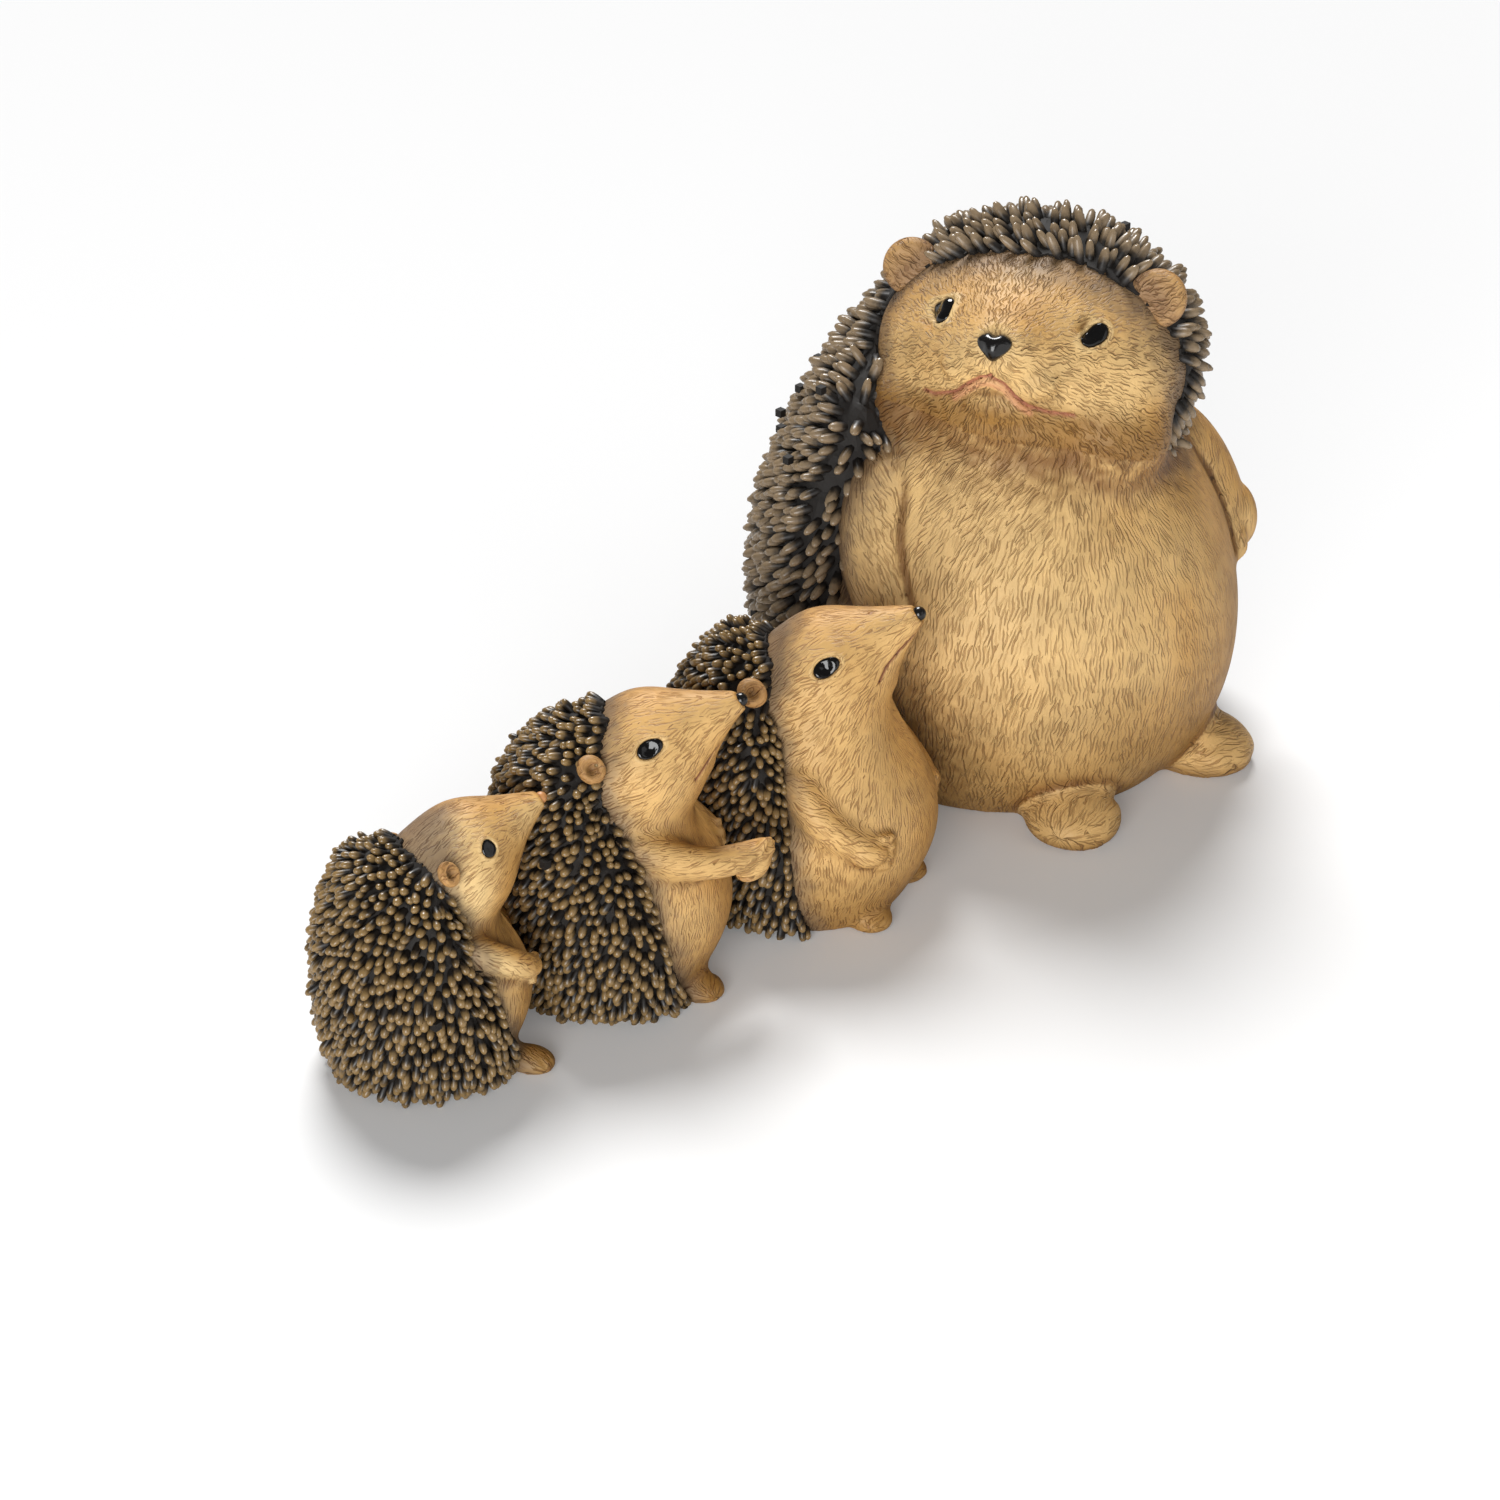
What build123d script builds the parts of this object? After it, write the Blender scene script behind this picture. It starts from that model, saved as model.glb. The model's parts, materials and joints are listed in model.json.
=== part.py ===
from build123d import *
import os
from dataclasses import dataclass
from math import atan2, cos, degrees, hypot, pi, sin

# A hedgehog family in cast resin: a mother, and three young who look up at her in a row.
# Frame: +X runs along the row from the youngest to the mother, -Y is the front, +Z is up.
# The origin is the centre of the mother's flat underside. Sizes are in mm and degrees.
# In each figure's own frame X points forward, Y to its left and Z up.
# A table whose name ends in shares gives a form in parts of the named sizes that it follows.

# Mother: torso, head and coat
mother_torso_height = 98.0
mother_torso_depth = 114.0
mother_torso_width = 112.0
mother_wall = 8.0
mother_head_length = 72.0
mother_head_height = 57.0
mother_head_width = 75.0
mother_head_rise = 103.0
mother_head_forward = 2.9
mother_head_aside = 4.0
mother_head_turn = -50.5
mother_head_pitch = 23.5
mother_coat_height = 132.0
mother_coat_depth = 122.0
mother_coat_width = 120.0
mother_coat_back = 1.0
mother_hood_over = 4.0
mother_hood_beside = 1.5

# Mother: limbs, face and quills
mother_arm_thickness = 21.0
mother_foot_length = 36.0
mother_foot_width = 23.0
mother_foot_height = 17.0
mother_ear_size = 14.0
mother_ear_thickness = 5.0
mother_eye_size = 7.0
mother_nose_size = 8.0
mother_quill_length = 8.0
mother_quill_width = 5.0
mother_plate_thickness = 3.0
plate_clearance = 0.2

# Eldest young: the other two are smaller copies with their own poses
young_torso_height = 56.0
young_head_length = 49.0
young_head_height = 33.0
young_head_width = 32.0
young_coat_height = 69.5
young_hood_over = 2.0
young_hood_beside = 1.5
young_arm_thickness = 9.0
young_foot_length = 18.0
young_foot_width = 10.5
young_foot_height = 7.5
young_ear_size = 7.5
young_ear_thickness = 2.6
young_eye_size = 4.6
young_nose_size = 3.4
young_quill_length = 5.0
young_quill_width = 3.4

eldest_size_share = 1.0
middle_size_share = 0.95
youngest_size_share = 0.82

# How stout each young one is, and how far its coat sits behind the middle of its torso
eldest_torso_depth = 50.0
eldest_torso_width = 52.0
eldest_coat_depth = 70.0
eldest_coat_width = 57.0
eldest_coat_back = 3.0
middle_torso_depth = 47.0
middle_torso_width = 48.0
middle_coat_depth = 57.0
middle_coat_width = 54.0
middle_coat_back = 1.2
youngest_torso_depth = 42.0
youngest_torso_width = 42.0
youngest_coat_depth = 47.0
youngest_coat_width = 47.0
youngest_coat_back = 0.5

# Places and headings of the figures in the row
eldest_back_along = 86.3
eldest_aside = 21.1
middle_back_along = 143.5
middle_aside = 12.9
youngest_back_along = 196.6
youngest_aside = 8.0
mother_heading = -103.0
eldest_heading = -67.0
middle_heading = -42.0
youngest_heading = -25.0

# Where each young one holds its head: rise and forward reach, turn to the left and pitch up
eldest_head_rise = 52.5
eldest_head_forward = -3.5
eldest_head_turn = 20.0
eldest_head_pitch = 40.0
middle_head_rise = 52.5
middle_head_forward = 2.0
middle_head_turn = 0.0
middle_head_pitch = 34.0
youngest_head_rise = 45.5
youngest_head_forward = 5.0
youngest_head_turn = 12.0
youngest_head_pitch = 26.0

# How far a cutting tool runs past what it cuts
overrun = 30.0

# Rings of each form: (place along its length, girth share, second girth share, drift share)
mother_torso_shares = (
    (0.00, 0.76, 0.76, 0.00), (0.08, 0.88, 0.88, 0.00), (0.22, 0.98, 0.98, 0.01),
    (0.40, 1.00, 1.00, 0.02), (0.57, 0.95, 0.95, 0.02), (0.73, 0.83, 0.84, 0.01),
    (0.87, 0.68, 0.70, 0.00), (1.00, 0.50, 0.52, 0.00),
)
young_torso_shares = (
    (0.00, 0.70, 0.80, 0.00), (0.10, 0.83, 0.90, 0.02), (0.24, 0.95, 0.98, 0.05),
    (0.40, 1.00, 1.00, 0.06), (0.56, 0.92, 0.94, 0.04), (0.74, 0.73, 0.80, 0.00),
    (0.90, 0.58, 0.64, 0.00), (1.00, 0.48, 0.52, 0.00),
)
mother_head_shares = (
    (-0.39, 0.48, 0.46, 0.00), (-0.28, 0.76, 0.73, 0.00), (-0.11, 0.96, 0.95, 0.00),
    (0.05, 1.00, 1.00, 0.00), (0.19, 0.93, 0.94, -0.02), (0.31, 0.75, 0.76, -0.03),
    (0.42, 0.52, 0.51, -0.02), (0.51, 0.33, 0.31, 0.02), (0.57, 0.22, 0.20, 0.04),
    (0.61, 0.12, 0.10, 0.05),
)
young_head_shares = (
    (-0.36, 0.44, 0.46, 0.00), (-0.26, 0.78, 0.80, -0.04), (-0.10, 0.99, 1.00, -0.04),
    (0.08, 1.00, 1.00, -0.02), (0.22, 0.90, 0.86, 0.04), (0.35, 0.67, 0.60, 0.07),
    (0.47, 0.42, 0.38, 0.05), (0.57, 0.25, 0.24, 0.02), (0.64, 0.15, 0.15, -0.02),
)
mother_coat_shares = (
    (0.00, 0.83, 0.83, 0.00), (0.14, 0.95, 0.95, 0.00), (0.30, 1.00, 1.00, 0.00),
    (0.46, 0.97, 0.97, 0.00), (0.60, 0.86, 0.87, 0.00), (0.74, 0.70, 0.72, 0.00),
    (0.85, 0.55, 0.57, 0.00), (0.93, 0.41, 0.43, 0.00), (0.98, 0.25, 0.26, 0.00),
    (1.00, 0.12, 0.12, 0.00),
)
young_coat_shares = (
    (0.00, 0.86, 0.86, 0.00), (0.12, 0.96, 0.96, 0.00), (0.30, 1.00, 1.00, 0.00),
    (0.50, 0.99, 0.98, 0.00), (0.67, 0.93, 0.91, 0.00), (0.81, 0.80, 0.78, 0.00),
    (0.91, 0.62, 0.59, 0.00), (0.97, 0.40, 0.38, 0.00), (1.00, 0.16, 0.16, 0.00),
)
foot_shares = (
    (0.00, 0.55, 0.55, 0.00), (0.20, 0.80, 0.78, 0.00), (0.50, 1.00, 0.95, 0.00),
    (0.75, 0.90, 1.00, -0.05), (0.90, 0.62, 0.78, -0.10), (1.00, 0.26, 0.36, -0.15),
)
arm_shares = ((0.00, 0.80), (0.25, 1.00), (0.60, 0.85), (0.85, 0.72), (1.00, 0.45))

# Front edge of each coat, in the figure's side view: (forward share, height share)
mother_rim_shares = ((0.22, 0.00), (0.10, 0.30), (0.00, 0.62), (-0.06, 0.80), (0.10, 1.00))
eldest_rim_shares = ((0.12, 0.00), (0.02, 0.36), (-0.10, 0.62), (-0.24, 0.80), (-0.10, 1.00))
middle_rim_shares = ((0.46, 0.00), (0.24, 0.39), (0.06, 0.61), (-0.16, 0.82), (0.00, 1.00))
youngest_rim_shares = ((0.62, 0.00), (0.32, 0.48), (0.12, 0.72), (0.05, 0.84), (0.15, 1.00))

# Where an arm runs, in shares of the torso's half depth, half width and height
mother_right_arm_shares = ((0.01, -0.54, 0.84), (0.16, -0.78, 0.67), (0.42, -0.80, 0.51))
mother_left_arm_shares = ((0.17, 0.54, 0.83), (0.30, 0.84, 0.62), (0.44, 0.83, 0.48))
eldest_right_arm_shares = ((0.0, -0.72, 0.72), (0.38, -0.86, 0.54), (0.85, -0.55, 0.42))
eldest_left_arm_shares = ((0.0, 0.72, 0.72), (0.38, 0.86, 0.54), (0.85, 0.55, 0.42))
middle_right_arm_shares = ((0.10, -0.66, 0.78), (0.68, -0.66, 0.69), (1.41, -0.32, 0.68))
middle_left_arm_shares = ((0.10, 0.62, 0.76), (0.58, 0.62, 0.62), (0.94, 0.26, 0.56))
youngest_right_arm_shares = ((0.10, -0.68, 0.76), (0.62, -0.78, 0.66), (0.98, -0.42, 0.50))
youngest_left_arm_shares = ((0.10, 0.62, 0.76), (0.58, 0.70, 0.66), (0.90, 0.36, 0.50))

# Where eyes and ears sit: how far along the head, and the angle round it from straight up
mother_eye_share = 0.375
mother_eye_angle = 61.0
mother_ear_share = 0.17
mother_ear_angle = 53.0
young_eye_share = 0.20
young_eye_angle = 63.0
young_ear_share = -0.13
young_ear_angle = 58.0
mother_ear_lift_share = 0.14
young_ear_lift_share = 0.32
ear_round_share = 0.42
ear_dish_share = 0.62
ear_dish_depth_share = 0.35
ear_dish_taper = 40.0
eye_sink_share = 0.30
foot_axis_share = 0.55

# Front of the coat over the head: its place along the head, and how far it leans forward
mother_brow_share = 0.10
young_brow_share = -0.31
mother_brow_lean = 25.0
young_brow_lean = 50.0

# How far the feet turn out, and how far the toes reach from the middle of the figure
mother_toe_out = 28.0
mother_toe_turn = 11.8
mother_toe_reach = 64.0
young_toe_out = 36.0
eldest_toe_reach = 25.0
middle_toe_reach = 26.5
youngest_toe_reach = 28.0

# Quills: rows up the coat, the gap to the next one in a row, and how they stand
mother_quill_rows = 16
mother_quill_pitch = 8.4
young_quill_rows = 9
young_quill_pitch = 7.6
hood_rows = 5
row_start_share = 0.6
quill_sink_share = 0.35
quill_tip_share = 0.35
quill_sides = 4
slope_step_share = 0.02
coat_quill_lean = 12.0
hood_quill_lean = -30.0
hood_drop_share = 0.30
muzzle_shares = ((-0.05, 1.00, 1.00, 0.00), (3.00, 1.00, 1.00, 0.00))


@dataclass
class Hedgehog:
    """One figure's sizes and pose."""

    name: str
    place: Location
    torso: tuple
    head: tuple
    head_place: tuple
    head_turn: float
    head_pitch: float
    coat: tuple
    coat_back: float
    hood: tuple
    arm_thickness: float
    arms: dict
    foot: tuple
    toe_reach: float
    toe_angles: dict
    ear: tuple
    eye_size: float
    nose_size: float
    quill: tuple
    quill_rows: int
    quill_pitch: float
    torso_shares: tuple
    head_shares: tuple
    coat_shares: tuple
    rim_shares: tuple
    brow_share: float
    brow_lean: float
    eye_share: float
    eye_angle: float
    ear_share: float
    ear_angle: float
    ear_lift_share: float


def half(size):
    return size / 2


def ring_solid(frame, length, half_up, half_side, rings):
    """A smooth solid through elliptical rings that stand along a frame's Z axis."""
    with BuildPart() as form:
        for along, up, side, drift in rings:
            with BuildSketch(Plane(frame).offset(length * along)):
                with Locations((half_up * drift, 0)):
                    Ellipse(half_up * up, half_side * side)
        loft()
    return form.part


def between(rings, along):
    """The ring shares at a station between two rings of a table."""
    for low, high in zip(rings, rings[1:]):
        if along <= high[0]:
            part = max(0.0, (along - low[0]) / (high[0] - low[0]))
            return tuple(a + (b - a) * part for a, b in zip(low, high))
    return rings[-1]


def head_frame(h):
    """The head's own frame: X along the snout, Y to its left, Z over the crown."""
    return (
        h.place
        * Location(h.head_place)
        * Location((0, 0, 0), (0, 0, h.head_turn))
        * Location((0, 0, 0), (0, -h.head_pitch, 0))
    )


def snout_frame(frame):
    """The same place turned so that Z runs along the snout and X points to the crown."""
    return frame * Location((0, 0, 0), (0, 90, 0)) * Location((0, 0, 0), (0, 0, 180))


def head_point(h, along, angle, side):
    """Where a feature sits on the head: its place in the head's frame, and its outward angle."""
    length, height, width = h.head
    station, up, across, drift = between(h.head_shares, along)
    lean = angle * pi / 180
    y = side * half(width) * across * sin(lean)
    z = half(height) * (drift + up * cos(lean))
    return length * station, y, z


def torso_form(h):
    height, depth, width = h.torso
    return h.place, height, half(depth), half(width), h.torso_shares


def head_form(h):
    length, height, width = h.head
    return snout_frame(head_frame(h)), length, half(height), half(width), h.head_shares


def hood_form(h):
    frame, length, half_up, half_side, rings = head_form(h)
    return frame, length, half_up + h.hood[0], half_side + h.hood[1], rings


def coat_form(h):
    height, depth, width = h.coat
    frame = h.place * Location((-h.coat_back, 0, 0))
    return frame, height, half(depth), half(width), h.coat_shares


def arm_solid(h, points):
    """A tapering arm through three points, from the shoulder to the paw."""
    height, depth, width = h.torso
    stations = [
        (half(depth) * x, half(width) * y, height * z) for x, y, z in points
    ]
    with BuildLine(Plane(h.place)) as path:
        Spline(*stations)
    with BuildPart() as arm:
        for along, girth in arm_shares:
            where = path.edges()[0].location_at(along)
            with BuildSketch(Plane(where)):
                Circle(half(h.arm_thickness) * girth)
        loft()
    return arm.part


def foot_solid(h, angle):
    """A rounded foot that points outwards and lies flat on the ground."""
    length, width, height = h.foot
    frame = h.place * Location((0, 0, 0), (0, 0, angle))
    heel = frame * Location((h.toe_reach - length, 0, half(height) * foot_axis_share))
    blank = ring_solid(snout_frame(heel), length, half(height), half(width), foot_shares)
    with BuildPart() as foot:
        add(blank)
        split(bisect_by=Plane(h.place), keep=Keep.TOP)
    return foot.part


def ear_solid(h, side):
    """A round dished ear that stands out of the head and faces forward."""
    size, thickness = h.ear
    x, y, z = head_point(h, h.ear_share, h.ear_angle, side)
    tilt = side * h.ear_angle
    frame = (
        head_frame(h)
        * Location((x, y, z))
        * Location((0, 0, 0), (-tilt, 0, 0))
        * Location((0, 0, size * h.ear_lift_share))
    )
    with BuildPart() as ear:
        with BuildSketch(Plane(snout_frame(frame))):
            Circle(half(size))
        extrude(amount=half(thickness), both=True)
        fillet(ear.edges(), radius=thickness * ear_round_share)
        with BuildSketch(Plane(snout_frame(frame)).offset(half(thickness))):
            Circle(half(size) * ear_dish_share)
        extrude(amount=-thickness * ear_dish_depth_share, taper=ear_dish_taper, mode=Mode.SUBTRACT)
    return ear.part


def eye_solid(h, side):
    """A round bead let into the side of the head."""
    x, y, z = head_point(h, h.eye_share, h.eye_angle, side)
    tilt = side * h.eye_angle * pi / 180
    sink = h.eye_size * eye_sink_share
    centre = head_frame(h) * Location((x, y - sink * sin(tilt), z - sink * cos(tilt)))
    with BuildPart() as eye:
        with Locations(centre):
            Sphere(half(h.eye_size))
    return eye.part


def nose_solid(h):
    """The rounded tip of the snout."""
    last = h.head_shares[-1]
    length, height, width = h.head
    tip = head_frame(h) * Location((length * last[0], 0, half(height) * last[3]))
    with BuildPart() as nose:
        with Locations(tip):
            Sphere(half(h.nose_size))
    return nose.part


def rim_at(h, height_share):
    """How far forward the coat's front edge is at a height, as a share of the half depth."""
    for low, high in zip(h.rim_shares, h.rim_shares[1:]):
        if height_share <= high[1]:
            part = (height_share - low[1]) / (high[1] - low[1])
            return low[0] + (high[0] - low[0]) * part
    return h.rim_shares[-1][0]


def belly_tool(h):
    """Everything in front of the coat's edge along the flanks."""
    height, depth, width = h.coat
    points = [(half(depth) * x, height * z) for x, z in h.rim_shares]
    with BuildPart() as tool:
        with BuildSketch(Plane(h.place * Location((0, 0, 0), (90, 0, 0)))):
            with BuildLine():
                edge = Spline(*points)
                Polyline(
                    edge @ 1,
                    (points[-1][0], height + overrun),
                    (depth + overrun, height + overrun),
                    (depth + overrun, -overrun),
                    (points[0][0], -overrun),
                    edge @ 0,
                )
            make_face()
        extrude(amount=width, both=True)
    return tool.part


def brow_frame(h):
    """A frame whose X axis points forward out of the coat's front edge over the head."""
    edge = head_frame(h) * Location((h.head[0] * h.brow_share, 0, 0))
    return edge * Location((0, 0, 0), (0, h.brow_lean, 0))


def jaw_level(h):
    """The level that the hood reaches down to at the back of the jaw."""
    return h.head_place[2] - h.head[1] * hood_drop_share


def face_tool(h):
    """Everything in front of the hood's edge."""
    reach = h.coat[1] + overrun
    with BuildPart() as tool:
        with BuildSketch(Plane(snout_frame(brow_frame(h)))):
            Rectangle(2 * reach, 2 * reach)
        extrude(amount=reach)
    return tool.part


def muzzle_form(h):
    """The space that the face looks out of, in front of the cheeks."""
    frame, length, half_up, half_side, rings = hood_form(h)
    return frame, length, half_up, half_side, muzzle_shares


def inside(form, spot, margin):
    """Whether a spot lies within a ring form, or closer to it than a margin."""
    frame, length, half_up, half_side, rings = form
    local = (frame.inverse() * spot).position
    share = local.Z / length
    if share < rings[0][0] or share > rings[-1][0]:
        return False
    _, up, side, drift = between(rings, share)
    across = (local.X - half_up * drift) / (half_up * up + margin)
    return hypot(across, local.Y / (half_side * side + margin)) < 1


def spread(form, rows, pitch, lean):
    """Places spread over a ring form, each with its Z axis pointing outwards."""
    frame, length, half_up, half_side, rings = form
    first, last = rings[0][0], rings[-1][0]
    spots = []
    for row in range(rows):
        along = first + (last - first) * (row + row_start_share) / rows
        _, up, side, drift = between(rings, along)
        low = between(rings, max(first, along - slope_step_share))
        high = between(rings, min(last, along + slope_step_share))
        slope = half_up * (high[1] - low[1]) / (length * (high[0] - low[0]))
        count = int(pi * (half_up * up + half_side * side) / pitch)
        for step in range(count):
            turn = 2 * pi * (step + half(row % 2)) / count
            x = half_up * (drift + up * cos(turn))
            y = half_side * side * sin(turn)
            spot = frame * Location((x, y, length * along))
            spot = spot * Location((0, 0, 0), (0, 0, degrees(turn)))
            spots.append(spot * Location((0, 0, 0), (0, 90 + degrees(atan2(slope, 1)) - lean, 0)))
    return spots


def quill_places(h, neighbours):
    """Where quills stand: on the coat and hood, clear of the face, belly and neighbours."""
    coat = coat_form(h)
    hood = hood_form(h)
    muzzle = muzzle_form(h)
    length, width = h.quill
    tip = Location((0, 0, length))
    rim_span = half(h.coat[1])
    jaw = jaw_level(h)
    brow = brow_frame(h).inverse()
    here = h.place.inverse()
    spots = []
    for spot in spread(coat, h.quill_rows, h.quill_pitch, coat_quill_lean):
        local = (here * spot).position
        behind_rim = local.X < rim_span * rim_at(h, local.Z / h.coat[0]) - width
        if behind_rim and not (inside(hood, spot, 0) or inside(muzzle, spot, width)):
            spots.append(spot)
    for spot in spread(hood, hood_rows, h.quill_pitch, hood_quill_lean):
        behind_brow = (brow * spot).position.X < -width
        if behind_brow and spot.position.Z > jaw and not inside(coat, spot, 0):
            spots.append(spot)
    return [
        spot for spot in spots
        if not any(inside(form, spot * tip, width) for form in neighbours)
    ]


def quill_solid(h):
    """One stubby four-sided quill that stands on its own root."""
    length, width = h.quill
    with BuildPart() as quill:
        with BuildSketch(Plane.XY.offset(-length * quill_sink_share)) as root:
            RegularPolygon(half(width), quill_sides)
        with BuildSketch(Plane.XY.offset(length * (1 - quill_sink_share))) as tip:
            RegularPolygon(half(width) * quill_tip_share, quill_sides)
        loft()
    return quill.part


def write(part, name):
    part.label = name
    export_step(part, f"parts/{name}.step")


def build(h, neighbours):
    """Makes and writes every piece of one figure but its torso, which it returns."""
    torso = ring_solid(*torso_form(h))
    head = ring_solid(*head_form(h))
    nose = nose_solid(h)
    eyes = {side: eye_solid(h, sign) for side, sign in (("left", 1), ("right", -1))}
    ears = {side: ear_solid(h, sign) for side, sign in (("left", 1), ("right", -1))}
    arms = {side: arm_solid(h, points) for side, points in h.arms.items()}
    feet = {side: foot_solid(h, angle) for side, angle in h.toe_angles.items()}

    with BuildPart() as head_casting:
        add(head)
        add([torso, nose, *eyes.values()], mode=Mode.SUBTRACT)
    write(head_casting.part, f"{h.name}_head")
    write(nose, f"{h.name}_nose")

    for side in ("left", "right"):
        write(eyes[side], f"{h.name}_{side}_eye")
        with BuildPart() as ear:
            add(ears[side])
            add([torso, head], mode=Mode.SUBTRACT)
        write(ear.part, f"{h.name}_{side}_ear")
        with BuildPart() as arm:
            add(arms[side])
            add([torso, head], mode=Mode.SUBTRACT)
        write(arm.part, f"{h.name}_{side}_arm")
        with BuildPart() as foot:
            add(feet[side])
            add(torso, mode=Mode.SUBTRACT)
        write(foot.part, f"{h.name}_{side}_foot")

    with BuildPart() as hood:
        add(ring_solid(*hood_form(h)))
        add(face_tool(h), mode=Mode.SUBTRACT)
        split(bisect_by=Plane(h.place * Location((0, 0, jaw_level(h)))), keep=Keep.TOP)
    quill = quill_solid(h)
    spots = quill_places(h, neighbours)
    with BuildPart() as coat:
        add(ring_solid(*coat_form(h)))
        add([belly_tool(h), ring_solid(*muzzle_form(h))], mode=Mode.SUBTRACT)
        add(hood.part)
        with Locations(*spots):
            add(quill)
        add([torso, head, *ears.values(), *arms.values(), *feet.values()], mode=Mode.SUBTRACT)
    pieces = coat.part.solids().sort_by(SortBy.VOLUME)
    print(h.name, "quills", len(spots), "loose scraps", [round(p.volume, 1) for p in pieces[:-1]])
    write(Part(pieces[-1].wrapped), f"{h.name}_quill_coat")
    return torso


def row_place(back_along, aside, heading):
    return Location((-back_along, -aside, 0), (0, 0, heading))


def young(
    name, size, torso, coat, coat_back, place, head_place, head_turn, head_pitch, arms, rim, toe_reach
):
    """A young hedgehog: the eldest's sizes times a share, in its own pose."""
    return Hedgehog(
        name=name,
        place=place,
        torso=(young_torso_height * size, *torso),
        head=(young_head_length * size, young_head_height * size, young_head_width * size),
        head_place=head_place,
        head_turn=head_turn,
        head_pitch=head_pitch,
        coat=(young_coat_height * size, *coat),
        coat_back=coat_back,
        hood=(young_hood_over * size, young_hood_beside * size),
        arm_thickness=young_arm_thickness * size,
        arms=arms,
        foot=(young_foot_length * size, young_foot_width * size, young_foot_height * size),
        toe_reach=toe_reach,
        toe_angles={"left": young_toe_out, "right": -young_toe_out},
        ear=(young_ear_size * size, young_ear_thickness * size),
        eye_size=young_eye_size * size,
        nose_size=young_nose_size * size,
        quill=(young_quill_length * size, young_quill_width * size),
        quill_rows=young_quill_rows,
        quill_pitch=young_quill_pitch * size,
        torso_shares=young_torso_shares,
        head_shares=young_head_shares,
        coat_shares=young_coat_shares,
        rim_shares=rim,
        brow_share=young_brow_share,
        brow_lean=young_brow_lean,
        eye_share=young_eye_share,
        eye_angle=young_eye_angle,
        ear_share=young_ear_share,
        ear_angle=young_ear_angle,
        ear_lift_share=young_ear_lift_share,
    )


mother = Hedgehog(
    name="mother",
    place=row_place(0, 0, mother_heading),
    torso=(mother_torso_height, mother_torso_depth, mother_torso_width),
    head=(mother_head_length, mother_head_height, mother_head_width),
    head_place=(mother_head_forward, mother_head_aside, mother_head_rise),
    head_turn=mother_head_turn,
    head_pitch=mother_head_pitch,
    coat=(mother_coat_height, mother_coat_depth, mother_coat_width),
    coat_back=mother_coat_back,
    hood=(mother_hood_over, mother_hood_beside),
    arm_thickness=mother_arm_thickness,
    arms={"left": mother_left_arm_shares, "right": mother_right_arm_shares},
    foot=(mother_foot_length, mother_foot_width, mother_foot_height),
    toe_reach=mother_toe_reach,
    toe_angles={"left": mother_toe_turn + mother_toe_out, "right": mother_toe_turn - mother_toe_out},
    ear=(mother_ear_size, mother_ear_thickness),
    eye_size=mother_eye_size,
    nose_size=mother_nose_size,
    quill=(mother_quill_length, mother_quill_width),
    quill_rows=mother_quill_rows,
    quill_pitch=mother_quill_pitch,
    torso_shares=mother_torso_shares,
    head_shares=mother_head_shares,
    coat_shares=mother_coat_shares,
    rim_shares=mother_rim_shares,
    brow_share=mother_brow_share,
    brow_lean=mother_brow_lean,
    eye_share=mother_eye_share,
    eye_angle=mother_eye_angle,
    ear_share=mother_ear_share,
    ear_angle=mother_ear_angle,
    ear_lift_share=mother_ear_lift_share,
)
eldest = young(
    "eldest", eldest_size_share, (eldest_torso_depth, eldest_torso_width),
    (eldest_coat_depth, eldest_coat_width), eldest_coat_back,
    row_place(eldest_back_along, eldest_aside, eldest_heading),
    (eldest_head_forward, 0, eldest_head_rise), eldest_head_turn, eldest_head_pitch,
    {"left": eldest_left_arm_shares, "right": eldest_right_arm_shares}, eldest_rim_shares,
    eldest_toe_reach,
)
middle = young(
    "middle", middle_size_share, (middle_torso_depth, middle_torso_width),
    (middle_coat_depth, middle_coat_width), middle_coat_back,
    row_place(middle_back_along, middle_aside, middle_heading),
    (middle_head_forward, 0, middle_head_rise), middle_head_turn, middle_head_pitch,
    {"left": middle_left_arm_shares, "right": middle_right_arm_shares}, middle_rim_shares,
    middle_toe_reach,
)
youngest = young(
    "youngest", youngest_size_share, (youngest_torso_depth, youngest_torso_width),
    (youngest_coat_depth, youngest_coat_width), youngest_coat_back,
    row_place(youngest_back_along, youngest_aside, youngest_heading),
    (youngest_head_forward, 0, youngest_head_rise), youngest_head_turn, youngest_head_pitch,
    {"left": youngest_left_arm_shares, "right": youngest_right_arm_shares}, youngest_rim_shares,
    youngest_toe_reach,
)

figures = (mother, eldest, middle, youngest)


def neighbour_forms(h):
    """The bodies of the other figures, which no quill may run into."""
    others = [figure for figure in figures if figure is not h]
    return [
        form for other in others for form in (coat_form(other), torso_form(other), head_form(other))
    ]


os.makedirs("parts", exist_ok=True)
for figure in (eldest, middle, youngest):
    write(build(figure, neighbour_forms(figure)), f"{figure.name}_torso")

# The mother is cast hollow, and a plate closes her underside
blank = build(mother, neighbour_forms(mother))
cavity_height = mother_torso_height - 2 * mother_wall
cavity_half_depth = half(mother_torso_depth) - mother_wall
cavity_half_width = half(mother_torso_width) - mother_wall
mouth_shares = mother_torso_shares[0]
cavity = ring_solid(
    mother.place, cavity_height, cavity_half_depth, cavity_half_width, mother_torso_shares
)
with BuildPart() as mother_torso:
    add(blank)
    add(cavity, mode=Mode.SUBTRACT)
write(mother_torso.part, "mother_torso")
with BuildPart() as mother_base_plate:
    with BuildSketch(Plane(mother.place)):
        Ellipse(
            cavity_half_depth * mouth_shares[1] - plate_clearance,
            cavity_half_width * mouth_shares[2] - plate_clearance,
        )
    extrude(amount=mother_plate_thickness)
write(mother_base_plate.part, "mother_base_plate")
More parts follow.
